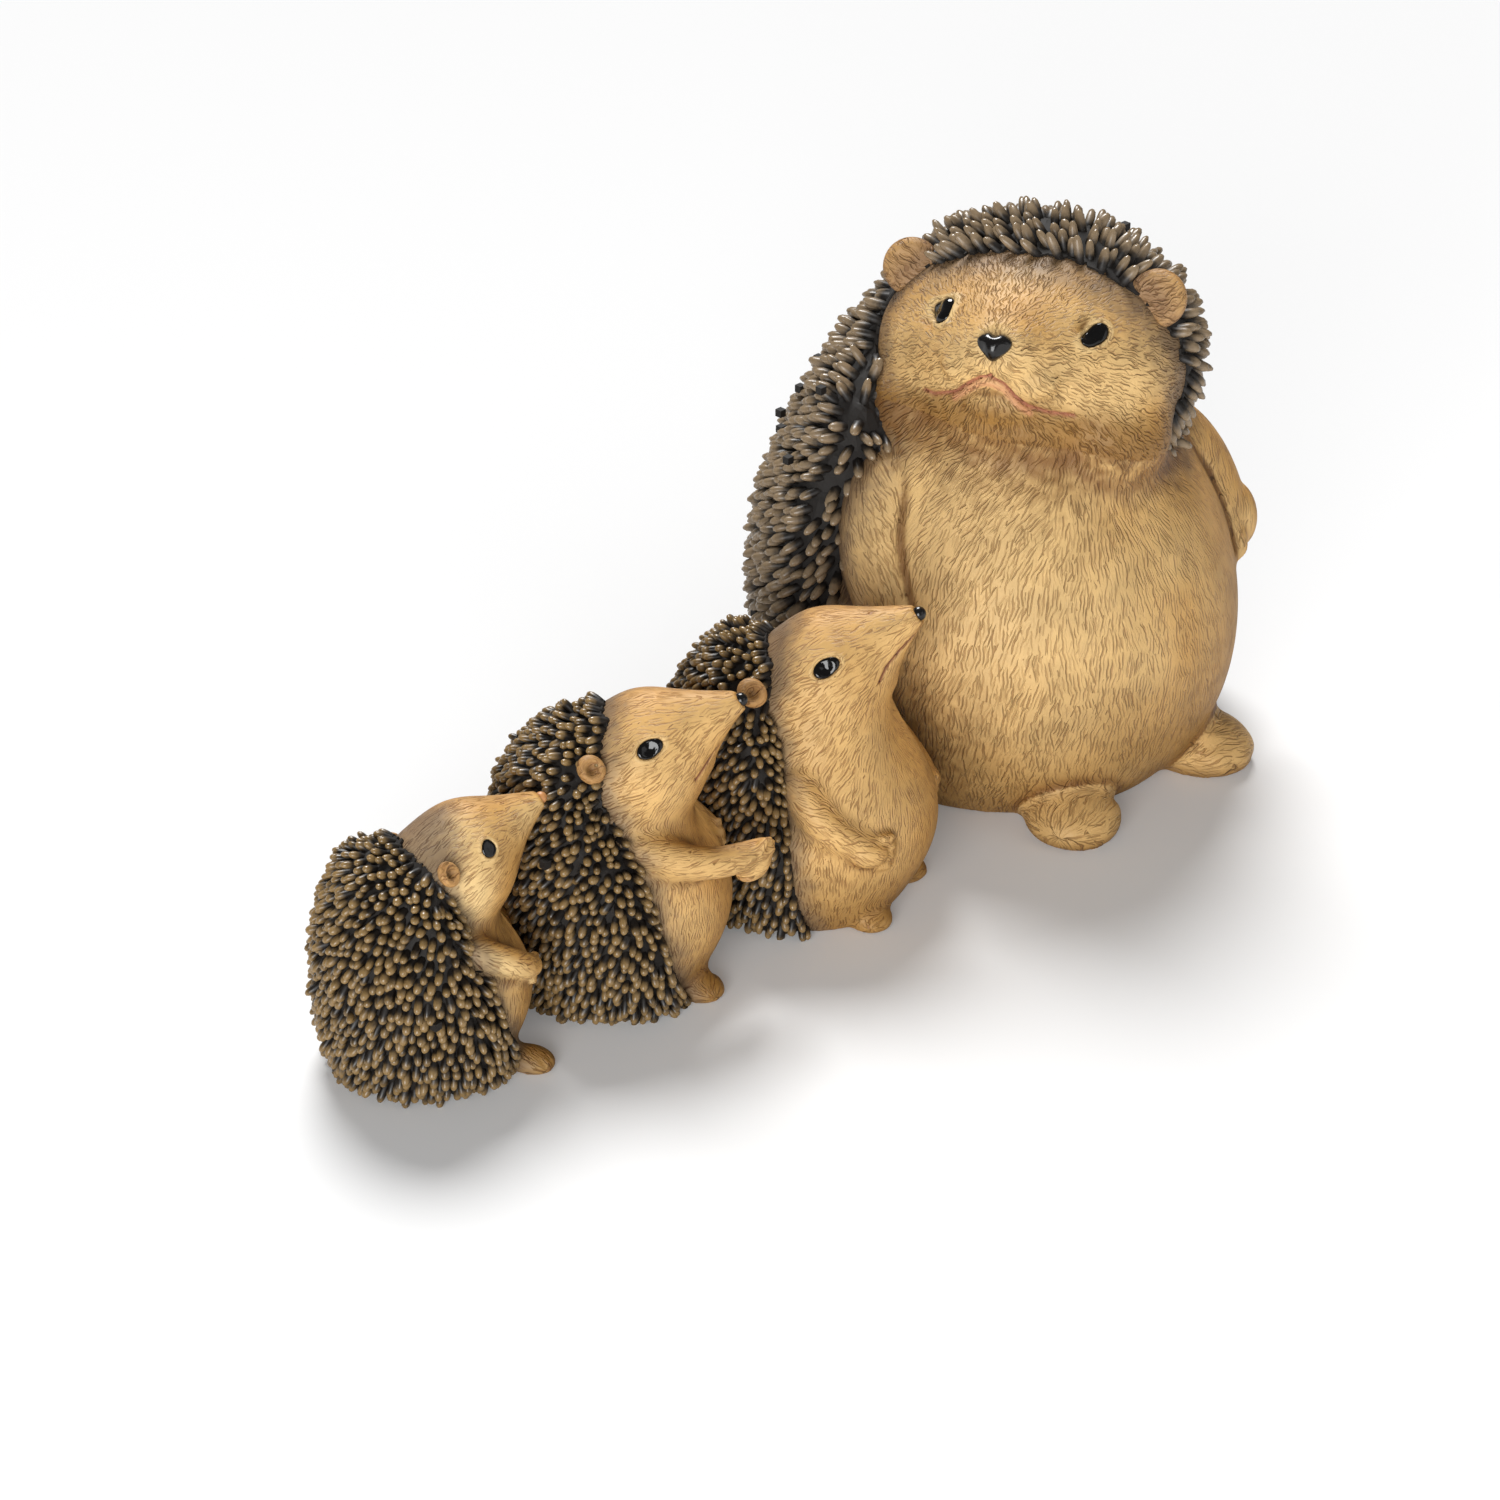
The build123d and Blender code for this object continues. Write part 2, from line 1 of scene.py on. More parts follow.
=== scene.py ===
# %% [markdown]
# # A hedgehog family in painted cast resin
#
# Four hand-painted castings stand in a row: a mother, who looks back over her shoulder, and
# three young who look up at her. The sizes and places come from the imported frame. Here each
# casting gets its soft sculpted skin, its carved fur, its coat of quills and its paint.

# %% Load the frame
import json
import math
from contextlib import contextmanager
from functools import partial

import bmesh
import bpy
import numpy as np
from mathutils import Matrix, Vector
from mathutils.bvhtree import BVHTree
from mathutils.kdtree import KDTree

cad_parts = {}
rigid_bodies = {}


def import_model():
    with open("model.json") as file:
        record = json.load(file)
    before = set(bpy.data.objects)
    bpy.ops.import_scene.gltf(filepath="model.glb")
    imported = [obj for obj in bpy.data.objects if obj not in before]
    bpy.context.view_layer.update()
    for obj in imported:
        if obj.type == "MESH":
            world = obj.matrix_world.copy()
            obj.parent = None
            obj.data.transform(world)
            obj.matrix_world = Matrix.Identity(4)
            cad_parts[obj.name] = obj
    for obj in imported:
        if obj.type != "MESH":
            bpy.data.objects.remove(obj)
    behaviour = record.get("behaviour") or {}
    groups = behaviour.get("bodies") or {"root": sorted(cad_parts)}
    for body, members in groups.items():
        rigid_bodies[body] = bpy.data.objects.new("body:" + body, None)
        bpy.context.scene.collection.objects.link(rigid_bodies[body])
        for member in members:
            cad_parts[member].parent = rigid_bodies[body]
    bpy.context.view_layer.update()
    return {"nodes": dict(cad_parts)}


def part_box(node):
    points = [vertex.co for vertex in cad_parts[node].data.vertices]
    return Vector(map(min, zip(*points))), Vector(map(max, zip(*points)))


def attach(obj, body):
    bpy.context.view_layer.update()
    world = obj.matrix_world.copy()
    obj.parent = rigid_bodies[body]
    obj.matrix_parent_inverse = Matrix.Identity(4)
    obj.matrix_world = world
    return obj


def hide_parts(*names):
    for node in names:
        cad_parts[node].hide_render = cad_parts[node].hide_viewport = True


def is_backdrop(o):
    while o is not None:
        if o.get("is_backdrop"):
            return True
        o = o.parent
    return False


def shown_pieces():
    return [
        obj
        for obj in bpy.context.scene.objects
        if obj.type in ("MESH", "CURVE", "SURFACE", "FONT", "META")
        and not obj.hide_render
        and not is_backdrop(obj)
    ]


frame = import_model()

MM = 0.001
nodes = frame["nodes"]
print(len(nodes), "nodes in the frame")

# %% [markdown]
# ## Where each figure stands
#
# These are the poses that the frame was built with, in millimetres and degrees. Two matrices
# come from them: one for the figure, with X forward, and one for its head, with X along the
# snout, Y to its left and Z over the crown. Every sculpting step below works in one of them.

# %% Poses
POSES = {
    "mother": dict(place=(0.0, 0.0), heading=-103, head=(2.9, 4.0, 103.0), turn=-50.5, pitch=23.5),
    "eldest": dict(place=(-86.3, -21.1), heading=-67, head=(-3.5, 0, 52.5), turn=20, pitch=40),
    "middle": dict(place=(-143.5, -12.9), heading=-42, head=(2.0, 0, 52.5), turn=0, pitch=34),
    "youngest": dict(place=(-196.6, -8.0), heading=-25, head=(5.0, 0, 45.5), turn=12, pitch=26),
}
SIZE = {"mother": 2.1, "eldest": 1.0, "middle": 0.95, "youngest": 0.82}


def turned(degrees, axis):
    return Matrix.Rotation(math.radians(degrees), 4, axis)


def body_frame(name):
    """The figure's own frame in millimetres: X forward, Y to its left, Z up."""
    pose = POSES[name]
    place = Matrix.Translation(Vector((*pose["place"], 0)))
    return Matrix.Scale(MM, 4) @ place @ turned(pose["heading"], "Z")


def head_frame(name):
    """The head's frame in millimetres: X along the snout, Y to its left, Z over the crown."""
    pose = POSES[name]
    neck = Matrix.Translation(Vector(pose["head"]))
    return body_frame(name) @ neck @ turned(pose["turn"], "Z") @ turned(-pose["pitch"], "Y")


def into(matrix, points):
    """Points in the row frame, as seen in a figure's or a head's own frame."""
    back = np.array(matrix.inverted())
    return points @ back[:3, :3].T + back[:3, 3]


def out_of(matrix, points):
    forth = np.array(matrix)
    return np.asarray(points) @ forth[:3, :3].T + forth[:3, 3]


# %% [markdown]
# ## Working on a mesh
#
# A sculptor pushes clay about by hand. In code the same is done by reading all of a mesh's
# vertices into one table, moving them by a rule, and writing them back.

# %% Mesh helpers
def pick(*pieces):
    """Selects these objects and no others; the first is the active one."""
    bpy.ops.object.select_all(action="DESELECT")
    for piece in pieces:
        piece.select_set(True)
    bpy.context.view_layer.objects.active = pieces[0]


def read(rows, name, width, kind=float):
    """One property of all vertices or edges as a table."""
    table = np.empty(len(rows) * width, dtype=kind)
    rows.foreach_get(name, table)
    return table.reshape(-1, width)


def read_points(piece):
    return read(piece.data.vertices, "co", 3)


def read_normals(piece):
    return read(piece.data.vertex_normals, "vector", 3)


def read_edges(piece):
    return read(piece.data.edges, "vertices", 2, np.int64)


def write_points(piece, table):
    piece.data.vertices.foreach_set("co", np.ascontiguousarray(table).ravel())
    piece.data.update()


def write_standing(piece, table):
    """Writes the points back, with none of them below the floor."""
    table[:, 2] = np.maximum(table[:, 2], 0)
    write_points(piece, table)


def apply_modifier(piece, kind, **settings):
    """Adds a modifier with these settings and applies it."""
    pick(piece)
    modifier = piece.modifiers.new(kind.title(), kind)
    for key, value in settings.items():
        setattr(modifier, key, value)
    bpy.ops.object.modifier_apply(modifier=modifier.name)


def edit_all(tool, **settings):
    """Uses one edit mode tool on the whole of the active mesh."""
    bpy.ops.object.mode_set(mode="EDIT")
    bpy.ops.mesh.select_all(action="SELECT")
    tool(**settings)
    bpy.ops.object.mode_set(mode="OBJECT")


def unit(ways):
    """A direction, or each row of a table of directions, brought to length one."""
    length = np.linalg.norm(ways, axis=1)[:, None] if ways.ndim > 1 else np.linalg.norm(ways)
    return ways / length


def neighbour_mean(table, edges):
    """For each vertex, the mean of a value over the vertices that share an edge with it."""
    count = len(table)
    ends = np.concatenate([edges[:, 0], edges[:, 1]])
    others = np.concatenate([edges[:, 1], edges[:, 0]])
    share = np.maximum(np.bincount(ends, minlength=count), 1)
    columns = [np.bincount(ends, table[others, k], count) / share for k in range(table.shape[1])]
    return np.stack(columns, axis=1)


def relax(table, edges, rounds):
    """Smooths without shrinking: a step in, then a slightly longer step back out."""
    for _ in range(rounds):
        for step in (0.5, -0.52):
            table = table + (neighbour_mean(table, edges) - table) * step
    return table


def grain(points, size, seed):
    """Smooth random values from -1 to 1 that change over about this distance."""
    side = 32
    values = np.random.default_rng(seed).uniform(-1, 1, (side, side, side))
    cell = points / size
    low = np.floor(cell).astype(int)
    part = cell - low
    part = part * part * (3 - 2 * part)
    total = 0
    for corner in np.ndindex(2, 2, 2):
        weight = np.prod(np.where(corner, part, 1 - part), axis=1)
        spot = (low + corner) % side
        total = total + weight * values[spot[:, 0], spot[:, 1], spot[:, 2]]
    return total


def soft_step(value, low, high):
    """0 below low, 1 above high, and a smooth rise between them."""
    part = np.clip((value - low) / (high - low), 0, 1)
    return part * part * (3 - 2 * part)


def bump(distance, reach):
    """1 at distance 0, falling smoothly to 0 at the reach."""
    return 1 - soft_step(distance, 0, reach)


# %% [markdown]
# ## Colours and one helper for materials
#
# Paint is written as sRGB hex, the way a colour picker shows it. Blender works in linear
# light, so one function converts it.

# %% Colour and node helpers
def linear(colour):
    """An sRGB hex colour as linear red, green and blue."""
    parts = [int(colour[i:i + 2], 16) / 255 for i in (1, 3, 5)]
    return np.array([v / 12.92 if v <= 0.04045 else ((v + 0.055) / 1.055) ** 2.4 for v in parts])


def feed(node, links):
    """Gives inputs, by number or name, a socket, the result of a node, or a plain value."""
    for key, source in links.items():
        if isinstance(source, bpy.types.Node):
            source = next(socket for socket in source.outputs if socket.enabled)
        if isinstance(source, bpy.types.NodeSocket):
            node.id_data.links.new(source, node.inputs[key])
        else:
            node.inputs[key].default_value = source


def add_node(tree, kind, links={}, **settings):
    """Adds a shader node; settings are properties of the node, or inputs by name."""
    node = tree.nodes.new("ShaderNode" + kind)
    for key, value in settings.items():
        if hasattr(node, key):
            setattr(node, key, value)
        else:
            node.inputs[key.replace("_", " ")].default_value = value
    feed(node, links)
    return node


def new_material(name):
    """A material, its Principled shader, and add_node for its own tree."""
    material = bpy.data.materials.new(name)
    material.use_nodes = True
    tree = material.node_tree
    return material, tree.nodes["Principled BSDF"], partial(add_node, tree)


# %% [markdown]
# ## Painted fur
#
# The castings were sprayed honey brown, washed with a thin dark brown that settles in the
# carved strokes, and wiped, so the ridges stay pale. The large colour changes are painted per
# vertex in an attribute called paint. Another attribute, called fur, holds the direction in
# which the fur lies. A Voronoi cell is one tuft: inside it thin strokes lie side by side along
# that direction, and the tuft has a lean of its own. Three sets of tufts are laid over one
# another. The resin keeps a satin sheen.

# %% Fur paint
WASH = [min(1, 1.9 * c) for c in linear("#70441A")]


def fur_paint(name, tuft_mm, pitch_mm, wave_mm, depth_mm, wash):
    """Painted carved fur: how long, close, wavy and deep the strokes are, and how dark."""
    material, shader, add = new_material(name)
    fur = add("Attribute", attribute_name="fur")
    paint = add("Attribute", attribute_name="paint")
    place = add("TexCoord").outputs["Object"]
    skin = add("NewGeometry")
    along = add("VectorMath", {0: fur.outputs["Vector"]}, operation="NORMALIZE")
    across = add("VectorMath", {0: skin.outputs["Normal"], 1: along}, operation="CROSS_PRODUCT")
    wave = add("TexNoise", {"Vector": place}, Scale=1 / (2.4 * MM), Detail=1.0)
    bend = add("MapRange", {"Value": wave}, To_Min=-wave_mm * MM, To_Max=wave_mm * MM)
    cut = None
    for layer in range(3):
        # Each set of cells is the same pattern, moved to another part of it
        moved = (0.37 * layer, 0.23 * layer, 0.51 * layer)
        spot = add("VectorMath", {0: place, 1: moved}, operation="ADD")
        cell = add("TexVoronoi", {"Vector": spot}, Scale=1 / (tuft_mm * MM), Randomness=1.0)
        gap = add("VectorMath", {0: spot, 1: cell.outputs["Position"]}, operation="SUBTRACT")
        reach = add("VectorMath", {0: gap, 1: along}, operation="DOT_PRODUCT")
        aside = add("VectorMath", {0: gap, 1: across}, operation="DOT_PRODUCT")
        own = add("SeparateColor", {"Color": cell.outputs["Color"]})
        # A tuft leans up to 20 degrees either way, and its strokes are slightly bent
        tilt = add("MapRange", {"Value": own}, To_Min=-0.36, To_Max=0.36)
        leant = add("Math", {0: reach, 1: tilt, 2: aside}, operation="MULTIPLY_ADD")
        bent = add("Math", {0: bend, 1: leant}, operation="ADD")
        lane = add("Math", {0: bent, 1: 1 / (pitch_mm * MM)}, operation="MULTIPLY")
        # The strokes of a tuft lie side by side, each one moved along by an amount of its own
        number = add("Math", {0: lane}, operation="FLOOR")
        chance = add(
            "TexWhiteNoise", {"Vector": cell.outputs["Color"], "W": number}, noise_dimensions="4D")
        dice = add("SeparateColor", {"Color": chance.outputs["Color"]})
        inside = add("Math", {0: lane}, operation="FRACT")
        middle = add("Math", {0: inside, 1: 0.5}, operation="SUBTRACT")
        off = add("Math", {0: middle}, operation="ABSOLUTE")
        shift = add("MapRange", {"Value": dice}, To_Min=-0.35, To_Max=0.35)
        far = add("Math", {0: reach, 1: 1 / (tuft_mm * MM), 2: shift}, operation="MULTIPLY_ADD")
        square = add("Math", {0: far, 1: far}, operation="MULTIPLY")
        # A stroke narrows to nothing at half a tuft from its middle
        lens = add("Math", {0: square, 1: 1.1, 2: off}, operation="MULTIPLY_ADD")
        dash = add(
            "MapRange", {"Value": lens}, interpolation_type="SMOOTHSTEP",
            From_Min=0.04, From_Max=0.30, To_Min=1.0, To_Max=0.0)
        deep = add("MapRange", {"Value": dice.outputs["Green"]}, From_Min=0.15)
        stroke = add("Math", {0: dash, 1: deep}, operation="MULTIPLY")
        if cut:
            stroke = add("Math", {0: stroke, 1: cut}, operation="MAXIMUM")
        cut = stroke
    # The sprayed colour is a little uneven over some 9 mm
    mottle = add("TexNoise", {"Vector": place}, Scale=1 / (9 * MM), Detail=3.0)
    tone = add("MapRange", {"Value": mottle}, From_Min=0.3, From_Max=0.7, To_Min=0.88, To_Max=1.1)
    shaded = add("VectorMath", {0: paint.outputs["Color"], "Scale": tone}, operation="SCALE")
    dark = add("Math", {0: cut, 1: wash}, operation="MULTIPLY")
    washed = add(
        "Mix", {"Factor": dark, "A": shaded, "B": (*WASH, 1)},
        data_type="RGBA", blend_type="MULTIPLY")
    # The fine grain of the clay lies over the whole skin, a few hundredths of a mm deep
    grit = add("TexNoise", {"Vector": place}, Scale=1 / (0.8 * MM), Detail=2.0)
    lift = add("Math", {0: cut, 1: -3.0, 2: grit}, operation="MULTIPLY_ADD")
    relief = add("Bump", {"Height": lift}, Strength=1.0, Distance=depth_mm * MM / 3)
    feed(shader, {"Base Color": washed, "Normal": relief, "Roughness": 0.55, "IOR": 1.46})
    return material


BODY_FUR = fur_paint("resin_painted_fur_long", 6.5, 0.95, 0.5, 0.32, 0.5)
FACE_FUR = fur_paint("resin_painted_fur_face", 4.6, 0.9, 1.0, 0.38, 0.5)
YOUNG_FUR = fur_paint("resin_painted_fur_short", 4.4, 0.75, 0.4, 0.2, 0.62)

# %% [markdown]
# ## Painted quills
#
# The quills are cast with the coat. They were painted near black and, once dry, brushed with
# bronze, which only catches their tips. The UV map of a quill runs from 0 at its root to 1 at
# its tip, so the paint knows where the brush touched; its other coordinate is a number of its
# own for each quill.

# %% Quill paint
def quill_paint(name, dark, bronze, start, gloss):
    """Near-black quills: how high up the bronze starts, and how rough the rubbed tips are."""
    material, shader, add = new_material(name)
    spot = add("UVMap", uv_map="quill")
    split = add("SeparateXYZ", {"Vector": spot})
    own, height = split.outputs["X"], split.outputs["Y"]
    place = add("TexCoord").outputs["Object"]
    speck = add("TexNoise", {"Vector": place}, Scale=1 / (1.1 * MM), Detail=3.0)
    high = add("Math", {0: speck, 1: 0.35, 2: height}, operation="MULTIPLY_ADD")
    more = add("Math", {0: own, 1: 0.3, 2: high}, operation="MULTIPLY_ADD")
    brushed = add(
        "MapRange", {"Value": more}, interpolation_type="SMOOTHSTEP",
        From_Min=start, From_Max=start + 0.5)
    colour = add(
        "Mix", {"Factor": brushed, "A": (*linear(dark), 1), "B": (*linear(bronze), 1)},
        data_type="RGBA")
    # The gaps between the quills stay matt, the rubbed tips shine
    shine = add("MapRange", {"Value": height}, To_Min=0.75, To_Max=gloss)
    feed(shader, {"Base Color": colour, "Roughness": shine, "IOR": 1.5})
    return material


MOTHER_QUILLS = quill_paint("resin_painted_quills_mother", "#17120E", "#8E7A60", 0.66, 0.17)
YOUNG_QUILLS = quill_paint("resin_painted_quills_young", "#17110C", "#8C7148", 0.8, 0.17)


# %% Enamel and plain resin
def plain_paint(name, colour, roughness):
    """A brushed-on paint with a slight unevenness."""
    material, shader, add = new_material(name)
    place = add("TexCoord").outputs["Object"]
    speck = add("TexNoise", {"Vector": place}, Scale=1 / (0.9 * MM), Detail=3.0)
    relief = add("Bump", {"Height": speck}, Strength=0.25, Distance=0.15 * MM)
    feed(shader, {
        "Base Color": (*linear(colour), 1), "Roughness": roughness, "Normal": relief})
    return material


EYE_ENAMEL = plain_paint("enamel_black_eye", "#0B0A0A", 0.08)
NOSE_ENAMEL = plain_paint("enamel_black_nose", "#131110", 0.2)
TAN_NOSE = plain_paint("resin_painted_nose_tan", "#C48A55", 0.4)
PLATE_RESIN = plain_paint("resin_unpainted", "#A98456", 0.6)

# %% [markdown]
# ## Floor, light and camera
#
# A product photograph on a white sweep. A broad light from behind and above throws the soft
# shadows forwards, a soft box on the left models the figures, and a weak one in front opens
# the shadows. The camera looks down 30 degrees from the front left with a long lens. It sees
# the floor and the sky brighter than they light the castings, as in an overexposed backdrop.

# %% Camera
AIM = Vector((-53.4, 36.4, 0)) * MM
VIEW = Vector((-0.6124, -0.6124, 0.5))
bpy.ops.object.camera_add(location=AIM + VIEW.normalized())
camera = bpy.context.object
camera.data.lens = 96
camera.data.sensor_width = 36
camera.data.clip_start = 0.05
camera.rotation_euler = (-VIEW).to_track_quat("-Z", "Y").to_euler()
bpy.context.scene.camera = camera

# %% Floor
bpy.ops.mesh.primitive_plane_add(size=8)
floor = bpy.context.object
floor.name = "floor"
floor_white, shader, add = new_material("floor_white")
feed(shader, {
    "Base Color": (0.74, 0.74, 0.74, 1), "Roughness": 0.9,
    "Emission Color": (0.11, 0.11, 0.11, 1),
    "Emission Strength": add("LightPath").outputs["Is Camera Ray"],
})
floor.data.materials.append(floor_white)
floor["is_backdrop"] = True


# %% Lights
def soft_light(name, place, size, power):
    """A square soft box that looks at the middle of the row."""
    spot = AIM + Vector(place)
    bpy.ops.object.light_add(type="AREA", location=spot)
    light = bpy.context.object
    light.name = name
    light.data.size = size
    light.data.energy = power
    light.rotation_euler = (AIM - spot).to_track_quat("-Z", "Y").to_euler()


def broad_light(name, direction, spread, strength):
    """A light as even as daylight, from this direction; the spread softens its shadow."""
    bpy.ops.object.light_add(type="SUN")
    light = bpy.context.object
    light.name = name
    light.data.energy = strength
    light.data.angle = math.radians(spread)
    light.rotation_euler = Vector(direction).to_track_quat("Z", "Y").to_euler()


broad_light("back_light", (0.4, 0.56, 0.88), 26, 3.7)
soft_light("left_soft_box", (-1.22, -0.82, 0.36), 0.8, 18)
soft_light("front_fill", (0.3, -1.3, 0.5), 1.0, 2)

world = bpy.data.worlds.new("studio")
bpy.context.scene.world = world
world.use_nodes = True
tree = world.node_tree
camera_ray = add_node(tree, "LightPath").outputs["Is Camera Ray"]
level = add_node(tree, "MapRange", {"Value": camera_ray}, To_Min=0.12)
feed(tree.nodes["Background"], {"Color": (1, 1, 1, 1), "Strength": level})
bpy.context.scene.view_settings.view_transform = "Standard"
print("camera", [round(v, 3) for v in camera.location])

# %% [markdown]
# ## One skin for each casting
#
# The frame's torso, head, arms and feet are separate solids, but the casting has one skin that
# runs softly from one to the next. Their copies are joined and a coarse voxel remesh turns
# them into one even mesh. Its hollows are filled, as a thumb smooths clay into a crease. Then
# lumps of clay are added for fingers, cheeks and lips, and a finer remesh takes them all in.

# %% Copies of the frame's solids
def copy_nodes(name, *names):
    """One object from free copies of CAD nodes, with their loose triangles merged."""
    copies = [bpy.data.objects.new(name, nodes[node].data.copy()) for node in names]
    for piece in copies:
        bpy.context.collection.objects.link(piece)
    pick(*copies)
    if len(copies) > 1:
        bpy.ops.object.join()
    piece = bpy.context.object
    piece.data.materials.clear()
    edit_all(bpy.ops.mesh.remove_doubles, threshold=1e-6)
    piece.name = name
    return piece


@contextmanager
def opened(piece):
    """The mesh of a piece, open for cuts, and written back afterwards."""
    mesh = bmesh.new()
    mesh.from_mesh(piece.data)
    yield mesh
    mesh.to_mesh(piece.data)
    mesh.free()


def close_holes(mesh):
    bmesh.ops.holes_fill(mesh, edges=[e for e in mesh.edges if e.is_boundary], sides=0)


def drop_cavity(piece, centre):
    """Removes the faces of an inner hollow and closes its mouth."""
    with opened(piece) as mesh:
        inner = [f for f in mesh.faces if (f.calc_center_median() - centre).dot(f.normal) < 0]
        bmesh.ops.delete(mesh, geom=inner, context="FACES")
        close_holes(mesh)


def remesh(piece, voxel_mm):
    apply_modifier(piece, "REMESH", mode="VOXEL", voxel_size=voxel_mm * MM)


def everywhere(points):
    return np.ones(len(points))


def fill_hollows(piece, rounds, weight=everywhere):
    """Lifts only the hollow points to the mean of their neighbours, round after round."""
    edges = read_edges(piece)
    share = weight(read_points(piece))[:, None]
    for _ in range(rounds):
        table, normals = read_points(piece), read_normals(piece)
        for _ in range(4):
            step = neighbour_mean(table, edges) - table
            rise = np.einsum("ij,ij->i", step, normals)[:, None]
            table = table + share * step * (rise > 0)
        write_points(piece, table)


def soften(piece, rounds):
    write_standing(piece, relax(read_points(piece), read_edges(piece), rounds))
    print(piece.name, len(piece.data.vertices), "points")


def clay(matrix, centre, radii, direction=(0, 0, 1)):
    """A lump of clay: a stretched ball in a figure's own millimetres, long along direction."""
    turn = Vector(direction).to_track_quat("Z", "Y").to_matrix().to_4x4()
    bpy.ops.mesh.primitive_uv_sphere_add(segments=20, ring_count=12, radius=1)
    lump = bpy.context.object
    bpy.ops.transform.resize(value=radii)
    bpy.ops.object.transform_apply(location=False, rotation=False, scale=True)
    lump.data.transform(matrix @ Matrix.Translation(Vector(centre)) @ turn)
    return lump


def add_lumps(piece, lumps):
    pick(piece, *lumps)
    bpy.ops.object.join()


def part_tree(names):
    """A search tree over several CAD nodes, and the node that each of its faces came from."""
    corners, faces, owner = [], [], []
    for index, node in enumerate(names):
        mesh = nodes[node].data
        start = len(corners)
        corners.extend(v.co[:] for v in mesh.vertices)
        faces.extend([start + k for k in p.vertices] for p in mesh.polygons)
        owner.extend([index] * len(mesh.polygons))
    return BVHTree.FromPolygons(corners, faces), np.array(owner)


def nearest_part(points, names):
    """For each point, which of these CAD nodes it is nearest to, and how far off that is."""
    tree, owner = part_tree(names)
    found = [tree.find_nearest(p)[2:] for p in points.tolist()]
    return owner[[index for index, _ in found]], np.array([gap for _, gap in found])


def gap_mm(points, *names):
    """How far each point lies from these CAD nodes, in millimetres."""
    return nearest_part(points, names)[1] / MM


def limb_axis(figure, limb):
    """Where a limb ends, and which way it points there, in the figure's own millimetres."""
    mesh = nodes[f"{figure}_{limb}"].data
    table = np.array([v.co[:] for v in mesh.vertices])
    local = into(body_frame(figure), table)
    middle = local.mean(0)
    axis = np.linalg.svd(local - middle, full_matrices=False)[2][0]
    axis = axis if axis[0] > 0 else -axis
    along = (local - middle) @ axis
    end = local[along > np.quantile(along, 0.93)].mean(0)
    low, high = np.quantile(along, (0.6, 0.75))
    before = local[(along > low) & (along < high)].mean(0)
    return end, unit(end - before)


def paw(figure, limb, finger, spread, lift=0.0):
    """Four fingers, fanned side by side at the end of an arm, and the ball of the hand."""
    end, heading = limb_axis(figure, limb)
    outward = unit(end * (1, 1, 0))
    heading = unit(heading + np.array((0, 0, lift)))
    fan = unit(np.cross(heading, outward))
    body = body_frame(figure)
    end = end - 1.6 * finger * heading
    lumps = [clay(body, end, (1.15 * finger, 1.15 * finger, 1.6 * finger), heading)]
    for place in (-1.5, -0.5, 0.5, 1.5):
        way = unit(heading + place * spread * fan - 0.12 * outward)
        reach = finger * (1.55 - 0.18 * abs(place))
        root = end + fan * place * 0.62 * finger + way * reach
        lumps.append(clay(body, root, (0.42 * finger, 0.42 * finger, 0.95 * finger), way))
    return lumps


# %% [markdown]
# ## Which way the fur lies
#
# On the belly the strokes hang down and sweep outwards under the chin, on the arms and feet
# they run along the limb, and on a face they stream back from the nose. Each point gets a
# direction by the part that it is nearest to, and smoothing lets them flow into each other.

# %% Directions and paint by place
def store(piece, name, kind, values):
    """Keeps one vector or colour for each vertex under a name that a material can read."""
    layer = piece.data.attributes.new(name, kind, "POINT")
    if kind == "FLOAT_VECTOR":
        layer.data.foreach_set("vector", values.ravel().astype(np.float32))
    else:
        full = np.concatenate([values, np.ones((len(values), 1))], axis=1)
        layer.data.foreach_set("color", full.ravel().astype(np.float32))


def lay_fur(piece, figure, part, limbs, sweep_low, sweep_high):
    """Stores the direction of the fur. Part 0 is the torso, 1 the head, then come the limbs."""
    points, normals, edges = read_points(piece), read_normals(piece), read_edges(piece)
    body = np.array(body_frame(figure))[:3, :3] / MM
    local = into(body_frame(figure), points)
    angle = np.arctan2(local[:, 1], local[:, 0])
    sweep = 0.1 + 0.6 * soft_step(local[:, 2], sweep_low, sweep_high)
    sweep = sweep * soft_step(np.abs(angle), 0.0, 0.5) * np.sign(angle)
    ways = np.stack([-np.sin(angle) * sweep, np.cos(angle) * sweep, -np.ones(len(angle))], axis=1)
    ways = ways @ body.T
    away = unit(points - centre_of(f"{figure}_nose"))
    ways[part == 1] = away[part == 1]
    for index, limb in enumerate(limbs, start=2):
        ways[part == index] = body @ limb_axis(figure, limb)[1]
    for _ in range(30):
        ways -= np.einsum("ij,ij->i", ways, normals)[:, None] * normals
        ways /= np.maximum(np.linalg.norm(ways, axis=1), 1e-9)[:, None]
        ways = neighbour_mean(ways, edges)
    store(piece, "fur", "FLOAT_VECTOR", ways)


HONEY = linear("#CE9B53")
PALE = linear("#E8C68A")
UMBER = linear("#74604C")
OCHRE = linear("#8E6325")
BROWN = linear("#7B501D")


def blend(base, colour, share):
    share = np.clip(share, 0, 1)[:, None]
    return base * (1 - share) + colour * share


def hollows(points, normals, edges, rounds):
    """How far each point lies in a hollow, in millimetres, from a smoothed copy of the mesh."""
    smooth = points
    for _ in range(rounds):
        smooth = neighbour_mean(smooth, edges)
    return np.einsum("ij,ij->i", smooth - points, normals) / MM


